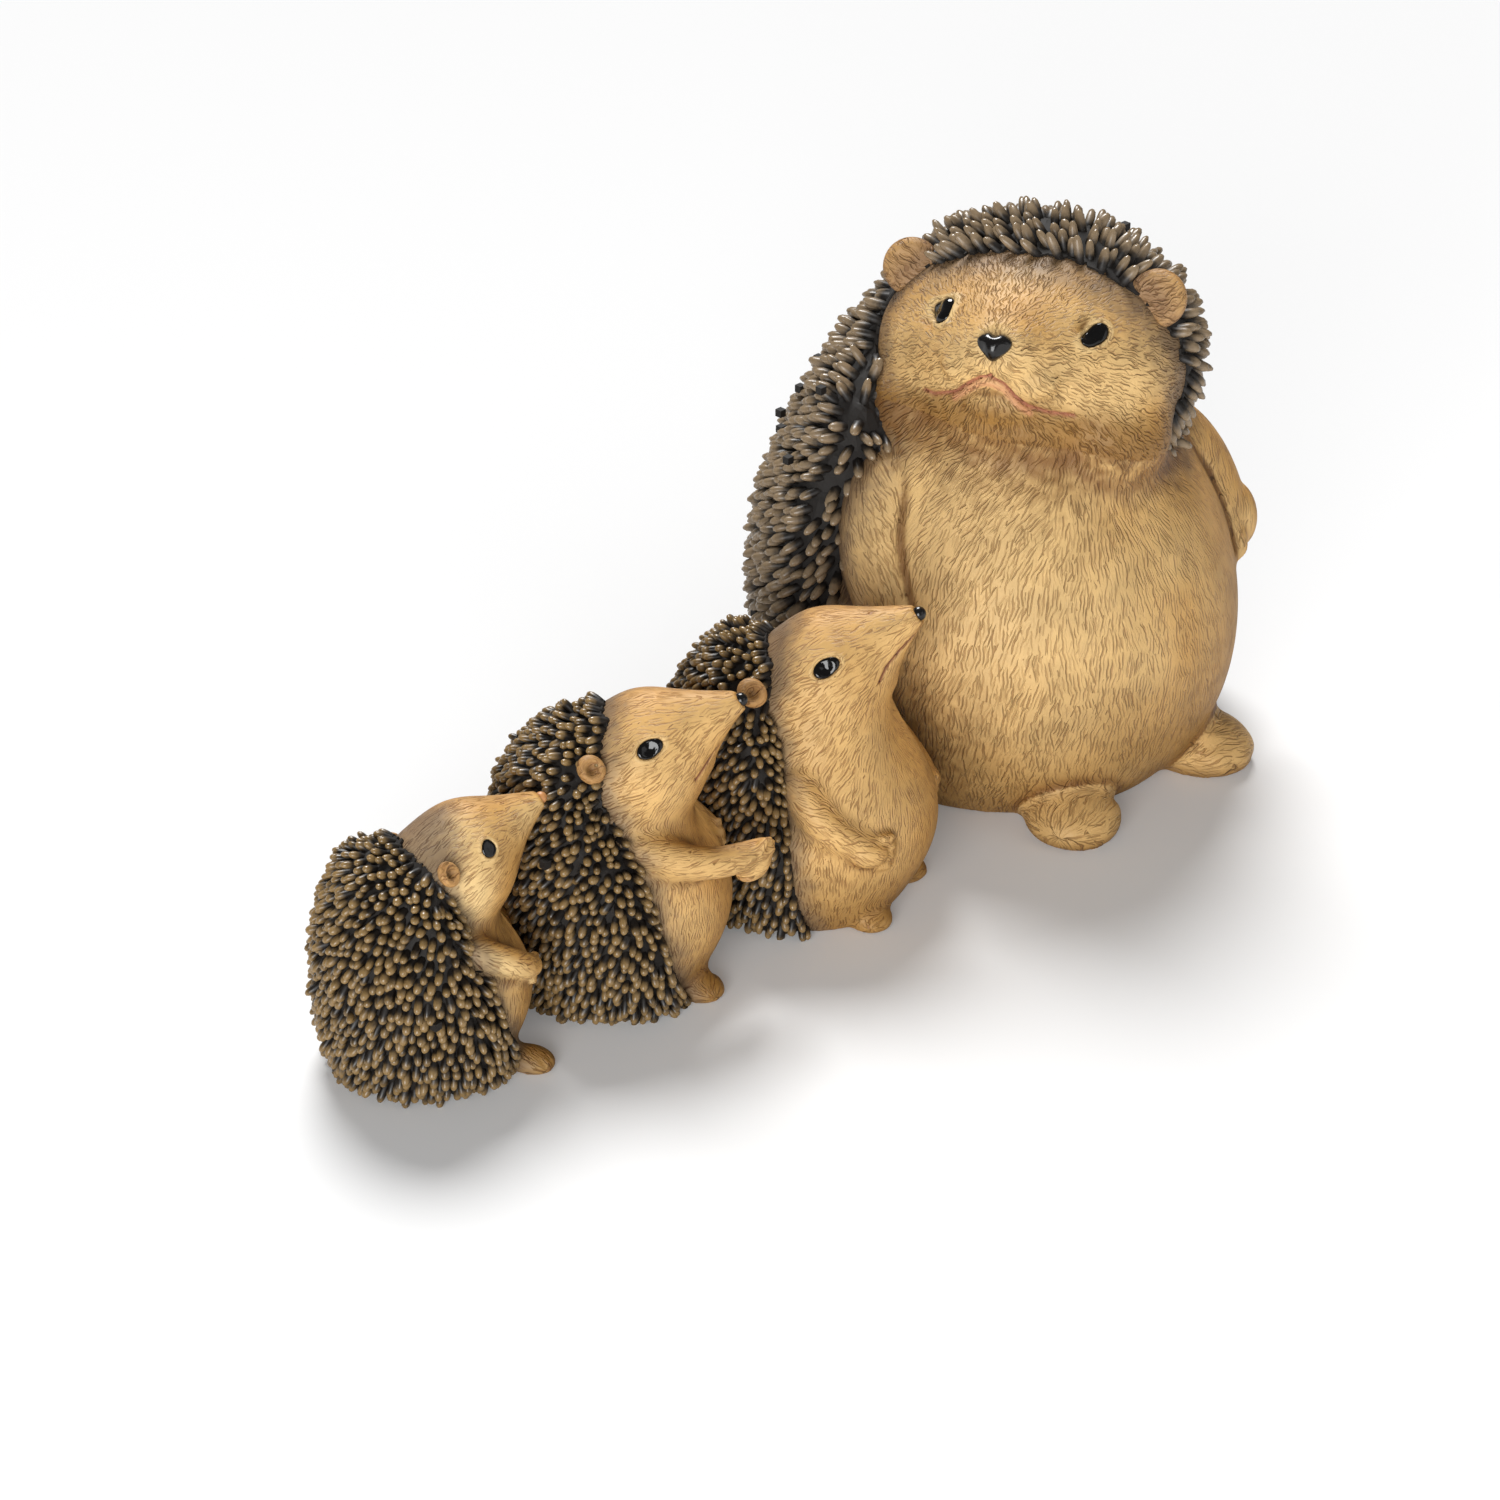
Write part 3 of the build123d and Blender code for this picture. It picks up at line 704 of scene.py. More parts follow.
def shade(piece, figure, low_mm, coat_mm, pale):
    """The sprayed and washed colour, with painted light: paler on the side that faces the left
    soft box, ochre low down and on the shaded side, brown in hollows.
    """
    points, normals, edges = read_points(piece), read_normals(piece), read_edges(piece)
    paint = np.tile(HONEY, (len(points), 1))
    slow = grain(points / MM, 11, 4)
    # Painted highlight: the side that faces the soft box on the left is painted paler, by the
    # share pale
    light = normals @ np.array((-0.8, -0.58, 0.1))
    paint = blend(paint, PALE, pale * soft_step(light + 0.2 * slow, 0.1, 0.9))
    height = points[:, 2] / MM
    paint = blend(paint, OCHRE, 0.75 * soft_step(-height - 0.12 * low_mm * slow, -low_mm, 0))
    # Painted shade: ochre on the side turned away from that light
    paint = blend(paint, OCHRE, 0.55 * soft_step(-light, -0.3, 0.8))
    # Brown in hollows: partly the dark wash that settles there, partly painted shade
    for rounds, reach, share in ((14, 0.22, 0.75), (60, 0.9, 0.6)):
        hollow = hollows(points, normals, edges, rounds)
        paint = blend(paint, BROWN, share * soft_step(hollow, 0.05 * reach, reach))
    ragged = 0.12 * grain(points / MM, 1.2, 8) + 0.16 * grain(points / MM, 4.1, 9)
    beside = gap_mm(points, f"{figure}_quill_coat") / coat_mm
    return blend(paint, UMBER, 0.85 * bump(beside + ragged, 1.0))


def centre_of(node):
    low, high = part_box(node)
    return np.array((low + high) / 2)


def dress(piece, materials, *names):
    piece.data.materials.clear()
    for material in materials:
        piece.data.materials.append(material)
    pick(piece)
    bpy.ops.object.shade_smooth()
    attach(piece, "root")
    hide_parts(*names)


def dress_ear(piece, figure, material, sweep, paint, node):
    lay_fur(piece, figure, np.ones(len(paint), dtype=int), (), *sweep)
    store(piece, "paint", "FLOAT_COLOR", paint)
    dress(piece, [material], node)


# %% Small sculpting tools
def off_line(points, path, stretch=1):
    """How far each point lies from a line of straight pieces."""
    near = np.full(len(points), np.inf)
    path = np.array(path)
    for start, step in zip(path[:-1], path[1:] - path[:-1]):
        share = np.clip((points - start) @ step / (step @ step), 0, 1)
        gap = (points - start - share[:, None] * step) * stretch
        near = np.minimum(near, np.linalg.norm(gap, axis=1))
    return near


def push(piece, share, depth_mm):
    """Pushes points in along their normals, by their share of a depth in millimetres."""
    step = read_normals(piece) * (share * depth_mm)[:, None] * MM
    write_points(piece, read_points(piece) - step)


def press(piece, matrix, path, width_mm, depth_mm, front_mm):
    """Presses a line into the front of a face, or raises one where the depth is negative."""
    local = into(matrix, read_points(piece))
    reach = bump(off_line(local[:, 1:], path), width_mm) * (local[:, 0] > front_mm)
    push(piece, reach, depth_mm)
    return reach


def eye_rim(piece, figure, side, lid_mm, socket_mm, shape):
    """Presses a socket in the outline of the eye and raises a lid round it."""
    centre, across, up, out = shape
    gap = read_points(piece) / MM - centre
    flat = np.stack([gap @ across, gap @ up], axis=1)
    turn = np.arctan2(flat[:, 1], flat[:, 0])
    edge = np.linalg.norm(flat, axis=1) / eye_outline(turn, figure, side)
    near = bump(np.abs(gap @ out), 3 * EYES[figure][side][0])
    ring = bump(np.abs(edge - 1.22), 0.34) * near
    inside = (1 - soft_step(edge, 0.9, 1.1)) * near
    push(piece, inside * socket_mm - ring * lid_mm, 1)
    return np.maximum(ring, bump(edge, 1.7) * near)


def toes(piece, figure, part, first, groove_mm, depth_mm):
    """Presses three grooves along the top of each foot, so four toes stand out."""
    table, normals = read_points(piece), read_normals(piece)
    local = into(body_frame(figure), table)
    for index, limb in enumerate(("left_foot", "right_foot"), start=first):
        end, heading = limb_axis(figure, limb)
        side = unit(np.cross(heading, (0, 0, 1)))
        gap = local - end
        across, along = gap @ side, gap @ heading
        for place in (-1.15, 0, 1.15):
            fan = across - place * groove_mm * (1 + 0.03 * along)
            cut = bump(np.abs(fan), 0.42 * groove_mm)
            cut = cut * soft_step(along, -2.6 * groove_mm, -0.6 * groove_mm)
            cut = cut * (part == index) * soft_step(normals[:, 2], -0.4, 0.1)
            table = table - normals * (cut * depth_mm)[:, None] * MM
    write_standing(piece, table)

# %% [markdown]
# ## Eyes
#
# An eye is a flat glossy drop with a pointed corner. For each one the table gives its half
# length towards the nose, its half height, where its corner points (0 is the nose, 90 the
# crown), how sharp that corner is and, where the photograph shows it off the frame's place,
# its own place in the head's millimetres.

# %% Eyes
EYES = {
    "mother": {
        "right": (4.2, 2.6, 84, 0.6, (29.0, -17.4, 7.4)),
        "left": (3.0, 2.3, 8, 0.6, (26.2, 19.9, 7.0)),
    },
    "eldest": {"right": (3.0, 2.05, -8, 0.24, None), "left": (3.0, 2.05, -8, 0.24, None)},
    "middle": {"right": (2.9, 2.0, -6, 0.2, None), "left": (2.9, 2.0, -6, 0.2, None)},
    "youngest": {"right": (1.8, 1.75, 75, 0.3, None), "left": (1.8, 1.75, 75, 0.3, None)},
}


ABOVE = 6.0  # millimetres over the skin from which the rays start


def eye_outline(turn, figure, side):
    """How far the eye reaches from its middle, in millimetres, in each direction."""
    long, high, corner, sharp, _ = EYES[figure][side]
    oval = long * high / np.hypot(high * np.cos(turn), long * np.sin(turn))
    return oval * (1 + sharp * np.maximum(np.cos(turn - math.radians(corner)), 0) ** 5)


def eye_plane(piece, figure, side):
    """The eye's place on the skin, and its directions towards the nose, the crown and out."""
    head, own = head_frame(figure), EYES[figure][side][4]
    spot = out_of(head, own) if own else centre_of(f"{figure}_{side}_eye")
    table = read_points(piece)
    gap = np.linalg.norm(table - spot, axis=1)
    out = unit(read_normals(piece)[gap < gap.min() + 2 * MM].mean(0))
    spot = spot + out * ((table[np.argmin(gap)] - spot) @ out)
    forward, crown = np.array(head)[:3, 0] / MM, np.array(head)[:3, 2]
    across = unit(forward - (forward @ out) * out)
    up = np.cross(out, across)
    up = up if up @ crown > 0 else -up
    return spot / MM, across, up, out


def set_eyes(piece, figure, lid_mm, socket_mm):
    """Models both eyes and their lids. Returns how much each skin point belongs to a lid."""
    lids = np.zeros(len(piece.data.vertices))
    skin = BVHTree.FromPolygons(
        read_points(piece).tolist(), [list(p.vertices) for p in piece.data.polygons])
    for side in ("left", "right"):
        shape = eye_plane(piece, figure, side)
        lids = np.maximum(lids, eye_rim(piece, figure, side, lid_mm, socket_mm, shape))
        centre, across, up, out = shape
        bpy.ops.mesh.primitive_uv_sphere_add(segments=32, ring_count=20, radius=1)
        eye = bpy.context.object
        eye.name = f"{figure}_{side}_eyeball"
        ball = read_points(eye)
        turn = np.arctan2(ball[:, 1], ball[:, 0])
        flat = np.hypot(ball[:, 0], ball[:, 1]) * eye_outline(turn, figure, side)
        dome = (0.6 if figure == "mother" else 0.42) * EYES[figure][side][1]
        x, y = flat * np.cos(turn), flat * np.sin(turn)
        table = centre + x[:, None] * across + y[:, None] * up
        # The eye follows the skin that it was pressed into, found by rays from above it
        starts = (table + ABOVE * out) * MM
        rays = [skin.ray_cast(Vector(p), Vector(-out), 2 * ABOVE * MM)[3] for p in starts]
        height = np.array([ABOVE if ray is None else ray / MM for ray in rays])
        table += (ABOVE - height + ball[:, 2] * dome - 0.1 * socket_mm)[:, None] * out
        if np.dot(np.cross(across, up), out) < 0:
            edit_all(bpy.ops.mesh.flip_normals)
        write_points(eye, table * MM)
        bpy.ops.object.shade_smooth()
        eye.data.materials.append(EYE_ENAMEL)
        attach(eye, "root")
        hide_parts(f"{figure}_{side}_eye")
    return lids


# %% [markdown]
# ## The young ones' castings
#
# Each is one skin, and its ears are two small cups of their own. The eldest folds its arms
# over its belly, the middle one reaches forward with an open paw, and the youngest lets its
# arms hang.

# %% Young castings
YOUNG = ("eldest", "middle", "youngest")
LIMBS = ("left_arm", "right_arm", "left_foot", "right_foot")
PARTS = ("torso", "head", *LIMBS)
PAWS = {
    "eldest": (2.9, 0.12, 0.3), "middle": (3.0, 0.24, 0.8), "youngest": (2.3, 0.1, -0.1),
}
YOUNG_MOUTHS = {
    "eldest": ((29.0, -1.5, -3.4), (24.0, -4.7, -3.2), (19.4, -7.4, -3.6), (16.4, -9.0, -5.0)),
    "middle": ((27.0, -1.5, -4.6), (20.0, -5.0, -5.4), (15.2, -7.3, -6.6), (13.0, -8.8, -7.0)),
    "youngest": ((23.0, -1.5, -3.4), (17.0, -4.6, -4.4), (13.4, -6.6, -5.2), (11.6, -7.6, -5.8)),
}


def mouth_slit(piece, figure, width_mm, depth_mm):
    """Presses the mouth on both sides of the snout. Returns its share of each point."""
    local = into(head_frame(figure), read_points(piece))
    local[:, 1] = -np.abs(local[:, 1])
    reach = bump(off_line(local, YOUNG_MOUTHS[figure], (1, 0.35, 1)), width_mm)
    push(piece, reach, depth_mm)
    return reach


# How far the cup of an ear stands from its solid, forward and up in the head's millimetres
EAR_SHIFT = {"eldest": (1.2, 4.8), "middle": (3.8, 2.8), "youngest": (3.0, 2.2)}


def young_ear(figure, side):
    """A round cup of an ear, open to the side and the front, set on the edge of the coat."""
    node = f"{figure}_{side}_ear"
    scale, head = SIZE[figure], head_frame(figure)
    forward, up = EAR_SHIFT[figure] if side == "right" else (0.0, -1.0)
    place = into(head, centre_of(node)) + np.array((forward, 0, up))
    open_to = np.array((0.5, 0.8 * np.sign(place[1]), 0.3))
    piece = clay(head, place, (3.3 * scale, 3.7 * scale, 2.0 * scale), open_to)
    piece.name = f"{figure}_{side}_ear_cup"
    remesh(piece, 0.3)
    local = (into(head, read_points(piece)) - place) / scale
    open_to = unit(open_to)
    depth = local @ open_to
    across = np.linalg.norm(local - depth[:, None] * open_to, axis=1)
    dish = bump(across, 2.6) * (depth > 0)
    step = open_to * (2.1 * scale * dish)[:, None]
    write_points(piece, out_of(head, local * scale + place - step))
    soften(piece, 6)
    paint = np.tile(linear("#B98C54"), (len(dish), 1))
    paint = blend(paint, linear("#7A5830"), 0.9 * dish)
    dress_ear(piece, figure, YOUNG_FUR, (22, 44), paint, node)


# How much painted highlight each young one gets on the side that faces the left light
YOUNG_PAINTED_HIGHLIGHT = {"eldest": 0.45, "middle": 0.45, "youngest": 1.0}


def young_casting(figure):
    """One young one's skin, with its paws, cheeks, eyes, mouth, toes, fur and paint."""
    scale = SIZE[figure]
    names = [f"{figure}_{part}" for part in PARTS]
    piece = copy_nodes(f"{figure}_casting", *names)
    remesh(piece, 0.85)
    head = head_frame(figure)
    neck = centre_of(f"{figure}_head")

    def weight(points):
        low = bump(np.linalg.norm((points - neck) / MM, axis=1), 34 * scale)
        return 0.22 + 0.78 * low

    fill_hollows(piece, 9, weight)
    finger, spread, lift = PAWS[figure]
    lumps = paw(figure, "right_arm", finger, spread, lift)
    lumps += paw(figure, "left_arm", 0.75 * finger, spread, lift)
    # Cheeks and the jaw that carries the mouth
    lumps.append(clay(head, (9 * scale, 0, -5.5 * scale), (11 * scale, 8.5 * scale, 7.5 * scale)))
    add_lumps(piece, lumps)
    remesh(piece, 0.42)
    fill_hollows(piece, 2)
    soften(piece, 9)
    lids = set_eyes(piece, figure, 0.34 * scale, 0.35 * scale)
    mouth = mouth_slit(piece, figure, 0.75, 0.45)
    part, _ = nearest_part(read_points(piece), names)
    toes(piece, figure, part, 4, 2.2 * scale, 0.28 * scale)
    lay_fur(piece, figure, part, LIMBS, 22 * scale, 44 * scale)
    paint = shade(piece, figure, 26 * scale, 7.5 * scale, YOUNG_PAINTED_HIGHLIGHT[figure])
    paint = blend(paint, PALE, 0.55 * lids)
    paint = blend(paint, linear("#6E2418"), 0.9 * mouth)
    store(piece, "paint", "FLOAT_COLOR", paint)
    dress(piece, [YOUNG_FUR], *names)


for figure in YOUNG:
    young_casting(figure)
    young_ear(figure, "left")
    young_ear(figure, "right")

# %% [markdown]
# ## The mother's casting
#
# She is twice as large. Her back lies hidden in the coat, so it is cut off there and closed,
# which leaves more points for what is seen. Her face is modelled with lumps of clay: first
# jowls that run into the shoulders and a chin, then puffed lips and the bridge of the nose.

# %% Mother's casting
MOUTH = (
    (-19.1, -11.3), (-16.8, -11.9), (-13.4, -11.2), (-10.5, -10.6), (-6.8, -8.2), (-3.4, -6.3),
    (-0.8, -6.0), (2.1, -7.0), (4.6, -9.7), (7.8, -11.6), (12.1, -12.4), (17.2, -12.4),
)
# Lumps of clay as middle and half lengths: both jowls and the chin, then the upper lips, the
# lower lip and the bridge of the nose
JOWLS = (
    ((8, -22, -15), (17, 15, 15)), ((8, 22, -15), (17, 15, 15)), ((19, 0, -15), (14, 19, 12)),
)
MUZZLE = (
    ((33.5, -6.5, -3.6), (4.5, 8.0, 5.2)), ((33.5, 6.5, -4.8), (4.5, 8.0, 5.4)),
    ((31.0, 0.5, -12.0), (5.0, 8.0, 4.6)), ((38.5, 0, 1.5), (5.0, 5.5, 5.0)),
)


def mother_casting():
    names = [f"mother_{part}" for part in PARTS]
    piece = copy_nodes("mother_casting", names[0])
    drop_cavity(piece, Vector((0, 0, 45 * MM)))
    add_lumps(piece, [copy_nodes("rest", *names[1:])])
    head, body = head_frame("mother"), body_frame("mother")
    add_lumps(piece, [clay(head, *lump) for lump in JOWLS])
    remesh(piece, 1.5)

    def weight(points):
        """A little more under the chin and before the head, and much less round the feet."""
        local = into(head, points)
        chin = bump(np.abs(local[:, 1]), 60) * soft_step(local[:, 0], -8, 2)
        low = soft_step(points[:, 2] / MM, 16, 30)
        return (0.45 + 0.2 * chin) * (0.1 + 0.9 * low)

    fill_hollows(piece, 4, weight)
    hand = paw("mother", "left_arm", 5.2, 0.14)
    add_lumps(piece, hand + [clay(head, *lump) for lump in MUZZLE])
    remesh(piece, 0.62)
    # The belly is smooth, so it needs fewer faces than the face
    part, _ = nearest_part(read_points(piece), names)
    piece.vertex_groups.new(name="belly").add(np.flatnonzero(part != 1).tolist(), 1.0, "REPLACE")
    apply_modifier(piece, "DECIMATE", ratio=0.7, vertex_group="belly")
    piece.vertex_groups.clear()
    facing = (body @ Vector((1, 0, 0)) - body @ Vector((0, 0, 0))).normalized()
    with opened(piece) as mesh:
        bmesh.ops.bisect_plane(
            mesh, geom=mesh.verts[:] + mesh.edges[:] + mesh.faces[:],
            plane_co=body @ Vector((-24, 0, 0)), plane_no=facing, clear_inner=True)
        close_holes(mesh)
    fill_hollows(piece, 5, lambda points: 1 - 0.4 * soft_step(into(head, points)[:, 0], 12, 22))
    soften(piece, 10)
    part, _ = nearest_part(read_points(piece), names)
    edges = read_edges(piece)
    # The arms swell a little and get a crease along their edge
    for arm in ("mother_left_arm", "mother_right_arm"):
        points = read_points(piece)
        own = part == names.index(arm)
        below = soft_step(-points[:, 2] / MM, -92, -70)
        step = np.where(own, 0.6, -0.8 * bump(gap_mm(points, arm), 4.0))[:, None] * below[:, None]
        for _ in range(5):
            step = neighbour_mean(step, edges)
        write_points(piece, points + read_normals(piece) * step * MM)
    lids = set_eyes(piece, "mother", 0.5, 0.45)
    front = soft_step(into(head, read_points(piece))[:, 0], 14, 20)
    mouth = press(piece, head, MOUTH, 0.75, 0.8, 18)
    lip = press(piece, head, [(y, z - 1.3) for y, z in MOUTH[3:-2]], 1.3, -0.35, 18)
    press(piece, head, ((-0.8, -6.0), (0.0, -1.5)), 1.1, 0.5, 30)
    part, _ = nearest_part(read_points(piece), names)
    toes(piece, "mother", part, 4, 4.6, 0.55)
    lay_fur(piece, "mother", part, LIMBS, 55, 100)
    points = read_points(piece)
    local = into(head, points)
    paint = shade(piece, "mother", 60, 15, 0.7)
    ragged = 0.3 * grain(points / MM, 1.5, 5)
    # Painted shade: darker under the muzzle, and darkest under the chin and where head and belly
    # meet
    down = -local[:, 2] + 3 * ragged
    under = soft_step(down, 8, 15) * soft_step(local[:, 0], 0, 12) * (part == 1)
    paint = blend(paint, OCHRE, 0.85 * under)
    lowest = soft_step(down, 16, 25) * front * (part == 1)
    paint = blend(paint, BROWN, 0.7 * lowest)
    throat = bump(gap_mm(points, "mother_head") / 20 + ragged, 1.0) * (part != 1)
    paint = blend(paint, BROWN, 0.85 * throat)
    # Painted shadow of the eldest, darker where it sits before the belly
    beside = bump(gap_mm(points, "eldest_torso", "eldest_head") / 20 + ragged, 1.0)
    paint = blend(paint, BROWN, 0.8 * beside * (points[:, 2] < 70 * MM))
    feet = part >= names.index("mother_left_foot")
    paint = blend(paint, (HONEY + PALE) / 2, 0.75 * feet * soft_step(points[:, 2] / MM, 1, 5))
    round_nose = bump(np.linalg.norm(points - centre_of("mother_nose"), axis=1) / MM, 13)
    paint = blend(paint, PALE, 0.35 * round_nose * (local[:, 2] > -8))
    paint = blend(paint, PALE, 0.8 * np.minimum(1.6 * lids, 1))
    paint = blend(paint, linear("#D9906E"), 0.6 * lip)
    paint = blend(paint, linear("#B8705A"), 0.8 * mouth)
    store(piece, "paint", "FLOAT_COLOR", paint)
    dress(piece, [BODY_FUR, FACE_FUR], *names)
    corners = np.array([p.vertices[0] for p in piece.data.polygons])
    material = (part[corners] == 1).astype(np.int32)
    piece.data.polygons.foreach_set("material_index", material)
    print("mother's casting", len(piece.data.polygons), "faces")


mother_casting()


# %% Mother's ears and nose
def mother_ear(side):
    """A leaf of an ear: the frame's disc with its dish filled and its rim rounded."""
    node, body = f"mother_{side}_ear", body_frame("mother")
    piece = copy_nodes(f"mother_{side}_ear_leaf", node)
    local = into(body, read_points(piece))
    thin = np.linalg.svd(local - local.mean(0), full_matrices=False)[2][2]
    add_lumps(piece, [clay(body, into(body, centre_of(node)), (6.3, 6.3, 2.5), thin)])
    remesh(piece, 0.5)
    fill_hollows(piece, 12)
    soften(piece, 10)
    paint = (shade(piece, "mother", 46, 6, 0.5) + linear("#A87B4E")) / 2
    dress_ear(piece, "mother", FACE_FUR, (48, 88), paint, node)


def mother_nose():
    """The nose: wide above, narrow below, with a dent for each nostril."""
    bpy.ops.mesh.primitive_uv_sphere_add(segments=40, ring_count=24, radius=1)
    piece = bpy.context.object
    piece.name = "mother_nose_cap"
    ball = read_points(piece)
    wide = 1 + 0.28 * soft_step(ball[:, 2], -0.2, 0.7) - 0.42 * soft_step(-ball[:, 2], -0.1, 0.9)
    table = ball * (3.0, 3.7, 3.3)
    table[:, 1] *= wide
    for side in (-1, 1):
        gap = np.linalg.norm(table - (2.2, 2.4 * side, -0.3), axis=1)
        table[:, 0] -= 0.8 * bump(gap, 1.9)
    table[:, 2] -= 0.7 * bump(np.hypot(table[:, 1], table[:, 2] - 3.3), 1.8)
    head = head_frame("mother")
    spot = into(head, centre_of("mother_nose"))
    write_points(piece, out_of(head, table + spot + (-0.6, 0, -0.2)))
    bpy.ops.object.shade_smooth()
    piece.data.materials.append(NOSE_ENAMEL)
    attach(piece, "root")
    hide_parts("mother_nose")


mother_ear("left")
mother_ear("right")
mother_nose()

# %% [markdown]
# ## Quills
#
# One quill is a rounded grain. It starts as a disc with six or seven sides that is extruded
# upwards four or five times, swelling and then closing to a blunt tip.

# %% One quill
# Each ring's rise, as a share of the length, and how much wider it is than the one before
YOUNG_RINGS = ((0.26, 1.12), (0.28, 1.08), (0.24, 0.94), (0.14, 0.76), (0.08, 0.48))
MOTHER_RINGS = ((0.32, 1.18), (0.34, 1.0), (0.22, 0.78), (0.12, 0.46))


def quill_shape(length, width, thickness, sides, rings):
    """The corners and faces of one quill that stands on the origin."""
    bpy.ops.mesh.primitive_circle_add(vertices=sides, radius=0.39 * width, fill_type="NGON")
    quill = bpy.context.object
    bpy.ops.object.mode_set(mode="EDIT")
    bpy.ops.mesh.select_all(action="SELECT")
    for rise, grow in rings:
        bpy.ops.mesh.extrude_region_move(TRANSFORM_OT_translate={"value": (0, 0, rise * length)})
        bpy.ops.transform.resize(value=(grow, grow, 1))
    bpy.ops.mesh.select_all(action="SELECT")
    bpy.ops.mesh.normals_make_consistent(inside=False)
    bpy.ops.transform.resize(value=(1, thickness / width, 1), center_override=(0, 0, 0))
    bpy.ops.object.mode_set(mode="OBJECT")
    corners = read_points(quill)
    faces = [list(p.vertices) for p in quill.data.polygons]
    bpy.data.objects.remove(quill)
    return corners, faces


# %% [markdown]
# ## A coat's base
#
# Torso, head and coat are joined and softened, and only what lies nearest to the coat is
# kept. Its edge is drawn down to the skin, so it runs out to nothing. A solidify modifier
# gives it a back.

# %% Coat base
# Where each coat ends on the head: how far forward at the ears, in the head's own millimetres,
# and how much further forward for each millimetre towards the crown
HAIRLINE = {
    "mother": (99.0, 0.0), "eldest": (-8.0, 0.6), "middle": (-6.5, 0.9), "youngest": (-5.0, 0.0),
}


def coat_base(figure, voxel_mm, rounds):
    """The soft skin under the quills, and the places and normals of the points on its rim."""
    coat, *body = [f"{figure}_{part}" for part in ("quill_coat", "torso", "head")]
    piece = copy_nodes(f"{figure}_coat", coat, *body)
    remesh(piece, voxel_mm)
    table, edges = read_points(piece), read_edges(piece)
    for _ in range(rounds):
        table = table + 0.6 * (neighbour_mean(table, edges) - table)
    write_standing(piece, table)
    part, _ = nearest_part(table, [coat, *body])
    forward, _, up = into(head_frame(figure), table).T
    ear_line, slope = HAIRLINE[figure]
    edge = ear_line + slope * np.maximum(up - 4, 0) + 1.3 * grain(table / MM, 3, 6)
    bare = (part != 0) | ((forward > edge) & (up > -9))
    with opened(piece) as mesh:
        bmesh.ops.delete(mesh, geom=[v for v in mesh.verts if bare[v.index]], context="VERTS")
        rim = np.array([[*v.co, *v.normal] for v in mesh.verts if v.is_boundary])
    # Towards its edge the base is drawn down to the skin
    edge = KDTree(len(rim))
    for index, row in enumerate(rim):
        edge.insert(row[:3], index)
    edge.balance()
    skin, _ = part_tree(body)
    table = read_points(piece)

    def drawn(point, share):
        spot, normal = skin.find_nearest(point)[:2]
        return np.array(point) * (1 - share) + np.array(spot + normal * 0.5 * MM) * share

    off = np.array([edge.find(p)[2] for p in table.tolist()])
    share = 0.92 * bump(off / MM, 10 if figure == "mother" else 8)
    table = np.array([drawn(p, s) if s > 0 else p for p, s in zip(table.tolist(), share)])
    write_points(piece, table)
    rim[:, :3] = [drawn(p, 0.92) for p in rim[:, :3].tolist()]
    return piece, rim


# %% Quills on the coat
TRIES = 16  # random spots per square as wide as the spacing


def scatter(piece, rim, spacing_mm, seed):
    """Evenly spread random spots on a mesh, the rim first, no two closer than the spacing."""
    rng, cell = np.random.default_rng(seed), spacing_mm * MM
    piece.data.calc_loop_triangles()
    corners = np.array([t.vertices[:] for t in piece.data.loop_triangles])
    table, normals = read_points(piece), read_normals(piece)
    a, b, c = (table[corners[:, k]] for k in range(3))
    area = np.linalg.norm(np.cross(b - a, c - a), axis=1)
    wanted = int(area.sum() / 2 / cell ** 2 * TRIES)
    chosen = rng.choice(len(corners), wanted, p=area / area.sum())
    u, v = rng.random((2, wanted, 1))
    flip = u + v > 1
    u, v = np.where(flip, 1 - u, u), np.where(flip, 1 - v, v)
    spots = np.concatenate([rim[:, :3], a[chosen] + u * (b - a)[chosen] + v * (c - a)[chosen]])
    outward = np.concatenate([rim[:, 3:], normals[corners[chosen, 0]]])
    keep = spots[:, 2] > 0.9 * MM
    spots, outward = spots[keep], outward[keep]
    taken, kept = {}, []
    for index, spot in enumerate(spots):
        i, j, k = (spot // cell).astype(int).tolist()
        near = [
            other
            for x in (i - 1, i, i + 1) for y in (j - 1, j, j + 1) for z in (k - 1, k, k + 1)
            for other in taken.get((x, y, z), ())
        ]
        if all(np.sum((spots[other] - spot) ** 2) > cell * cell for other in near):
            taken.setdefault((i, j, k), []).append(index)
            kept.append(index)
    return spots[kept], outward[kept]


def plant(piece, spots, directions, up, shape, spread, seed):
    """Copies one quill to each spot, along its direction, and joins them to the piece."""
    rng = np.random.default_rng(seed)
    corners, faces = shape
    count, size = len(spots), len(corners)
    z = unit(directions)
    x = unit(np.cross(up, z))
    y = np.cross(z, x)
    body = corners[None] * (1 + spread * rng.uniform(-1, 1, (count, 1, 3)))
    table = spots[:, None]
    for column, axis in enumerate((x, y, z)):
        table = table + body[:, :, column:column + 1] * axis[:, None]
    table[:, :, 2] = np.maximum(table[:, :, 2], 0.1 * MM)
    polygons = [[k + size * copy for k in face] for copy in range(count) for face in faces]
    mesh = bpy.data.meshes.new("quills")
    mesh.from_pydata(table.reshape(-1, 3).tolist(), [], polygons)
    heights = corners[:, 2] / corners[:, 2].max()
    tone = rng.random(count)
    layer = mesh.uv_layers.new(name="quill")
    index = np.array([corner for face in polygons for corner in face])
    pairs = np.stack([tone[index // size], heights[index % size]], axis=1)
    layer.data.foreach_set("uv", pairs.ravel().astype(np.float32))
    quills = bpy.data.objects.new("quills", mesh)
    bpy.context.collection.objects.link(quills)
    pick(quills)
    bpy.ops.object.shade_smooth()
    pick(piece, quills)
    bpy.ops.object.join()
    return count


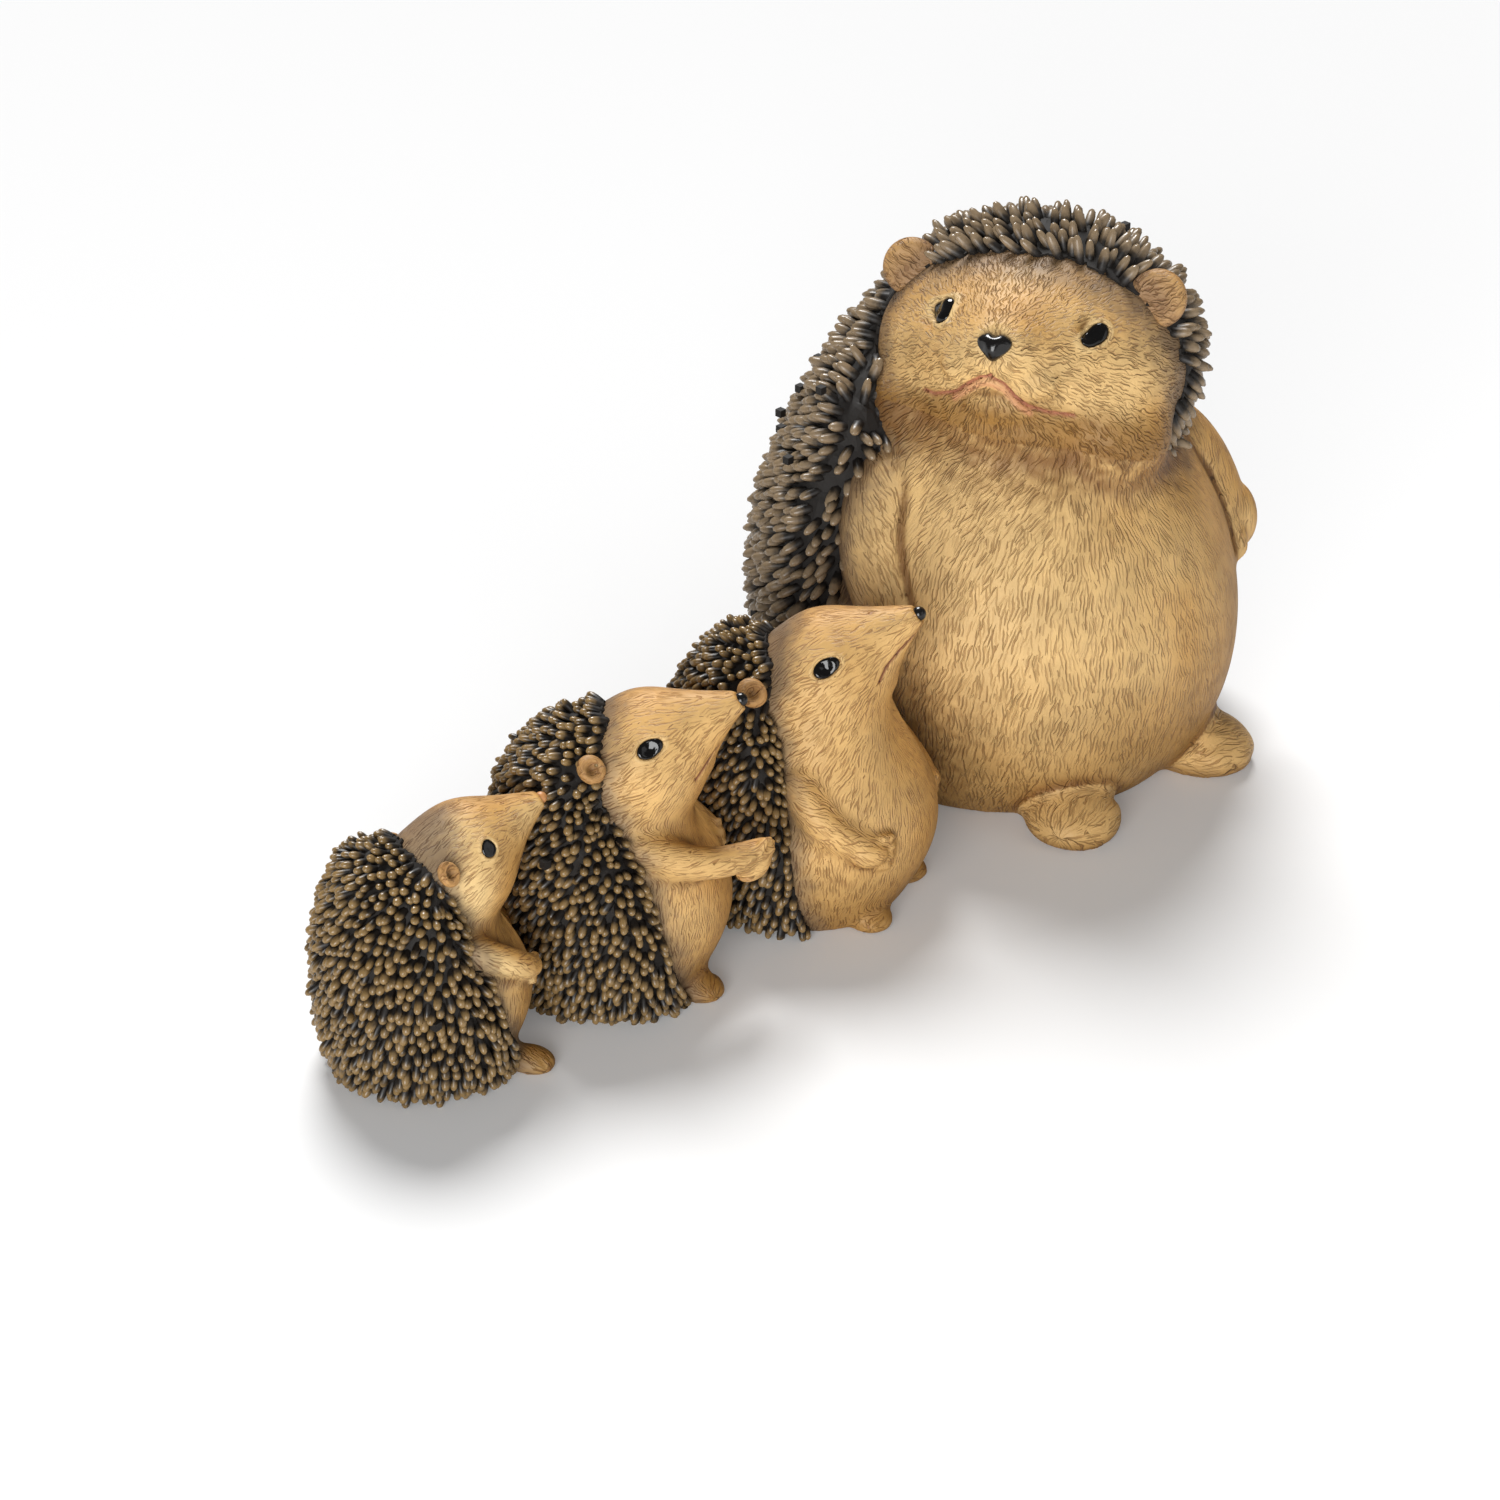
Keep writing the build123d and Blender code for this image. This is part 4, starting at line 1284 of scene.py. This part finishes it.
def quill_coat(figure, voxel_mm, rounds, spacing, shape, sink_mm, paint):
    """A coat: its base, and quills that lean back on it, rooted a little below its surface."""
    piece, rim = coat_base(figure, voxel_mm, rounds)
    spots, outward = scatter(piece, rim, spacing, 21)
    # Room for the ears
    for side in ("left", "right"):
        ear = next(o for o in bpy.data.objects if o.name.startswith(f"{figure}_{side}_ear_"))
        gap = np.linalg.norm(spots - read_points(ear).mean(axis=0), axis=1)
        keep = gap > (8.0 * MM if figure == "mother" else 3.5 * MM * SIZE[figure])
        spots, outward = spots[keep], outward[keep]
    away = unit(spots - centre_of(f"{figure}_nose")) - np.array((0, 0, 0.6))
    if figure == "mother":
        # Her head is turned, so her quills run back from between her head and her belly
        facing = np.array(head_frame(figure))[:3, 0] + np.array(body_frame(figure))[:3, 0]
        away = np.tile(-unit(facing) - np.array((0, 0, 0.9)), (len(spots), 1))
    away = unit(away - np.sum(away * outward, axis=1)[:, None] * outward)
    rng = np.random.default_rng(5)
    jitter = np.clip(rng.normal(0, 0.17, spots.shape), -0.26, 0.26)
    sway = 0.3 * grain(spots / MM, 16, 7)[:, None] * np.cross(outward, away)
    directions = outward + away + jitter + sway
    # Close to the floor the quills lie level, so none pokes through it
    down = directions[:, 2] < 0
    directions[down, 2] *= 1 - bump(spots[down, 2] / MM, 6)
    apply_modifier(piece, "SOLIDIFY", thickness=1.6 * MM, offset=-1)
    write_standing(piece, read_points(piece))
    piece.data.uv_layers.new(name="quill")
    layer = piece.data.uv_layers["quill"].data
    layer.foreach_set("uv", np.zeros(len(layer) * 2, dtype=np.float32))
    count = plant(piece, spots - outward * sink_mm * MM, directions, away, shape, 0.16, 8)
    piece.data.materials.clear()
    piece.data.materials.append(paint)
    print(piece.name, count, "quills")
    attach(piece, "root")
    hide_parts(f"{figure}_quill_coat")


petal = quill_shape(6.6 * MM, 2.75 * MM, 2.1 * MM, 6, MOTHER_RINGS)
quill_coat("mother", 2.2, 11, 2.48, petal, 1.3, MOTHER_QUILLS)
for figure in YOUNG:
    bean = quill_shape(4.4 * MM, 2.15 * MM, 1.9 * MM, 7, YOUNG_RINGS)
    quill_coat(figure, 0.9, 22, 1.82, bean, 1.0, YOUNG_QUILLS)

# %% Noses and plate
CAD_PAINTS = {
    "eldest_nose": NOSE_ENAMEL, "middle_nose": NOSE_ENAMEL, "youngest_nose": TAN_NOSE,
    "mother_base_plate": PLATE_RESIN,
}
for name, paint in CAD_PAINTS.items():
    nodes[name].data.materials.clear()
    nodes[name].data.materials.append(paint)
print("painted as they are:", ", ".join(CAD_PAINTS))

# %% Finish
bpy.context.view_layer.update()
triangles = 0
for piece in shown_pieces():
    if piece.type == "MESH":
        triangles += sum(len(p.vertices) - 2 for p in piece.data.polygons)
print(triangles, "triangles")
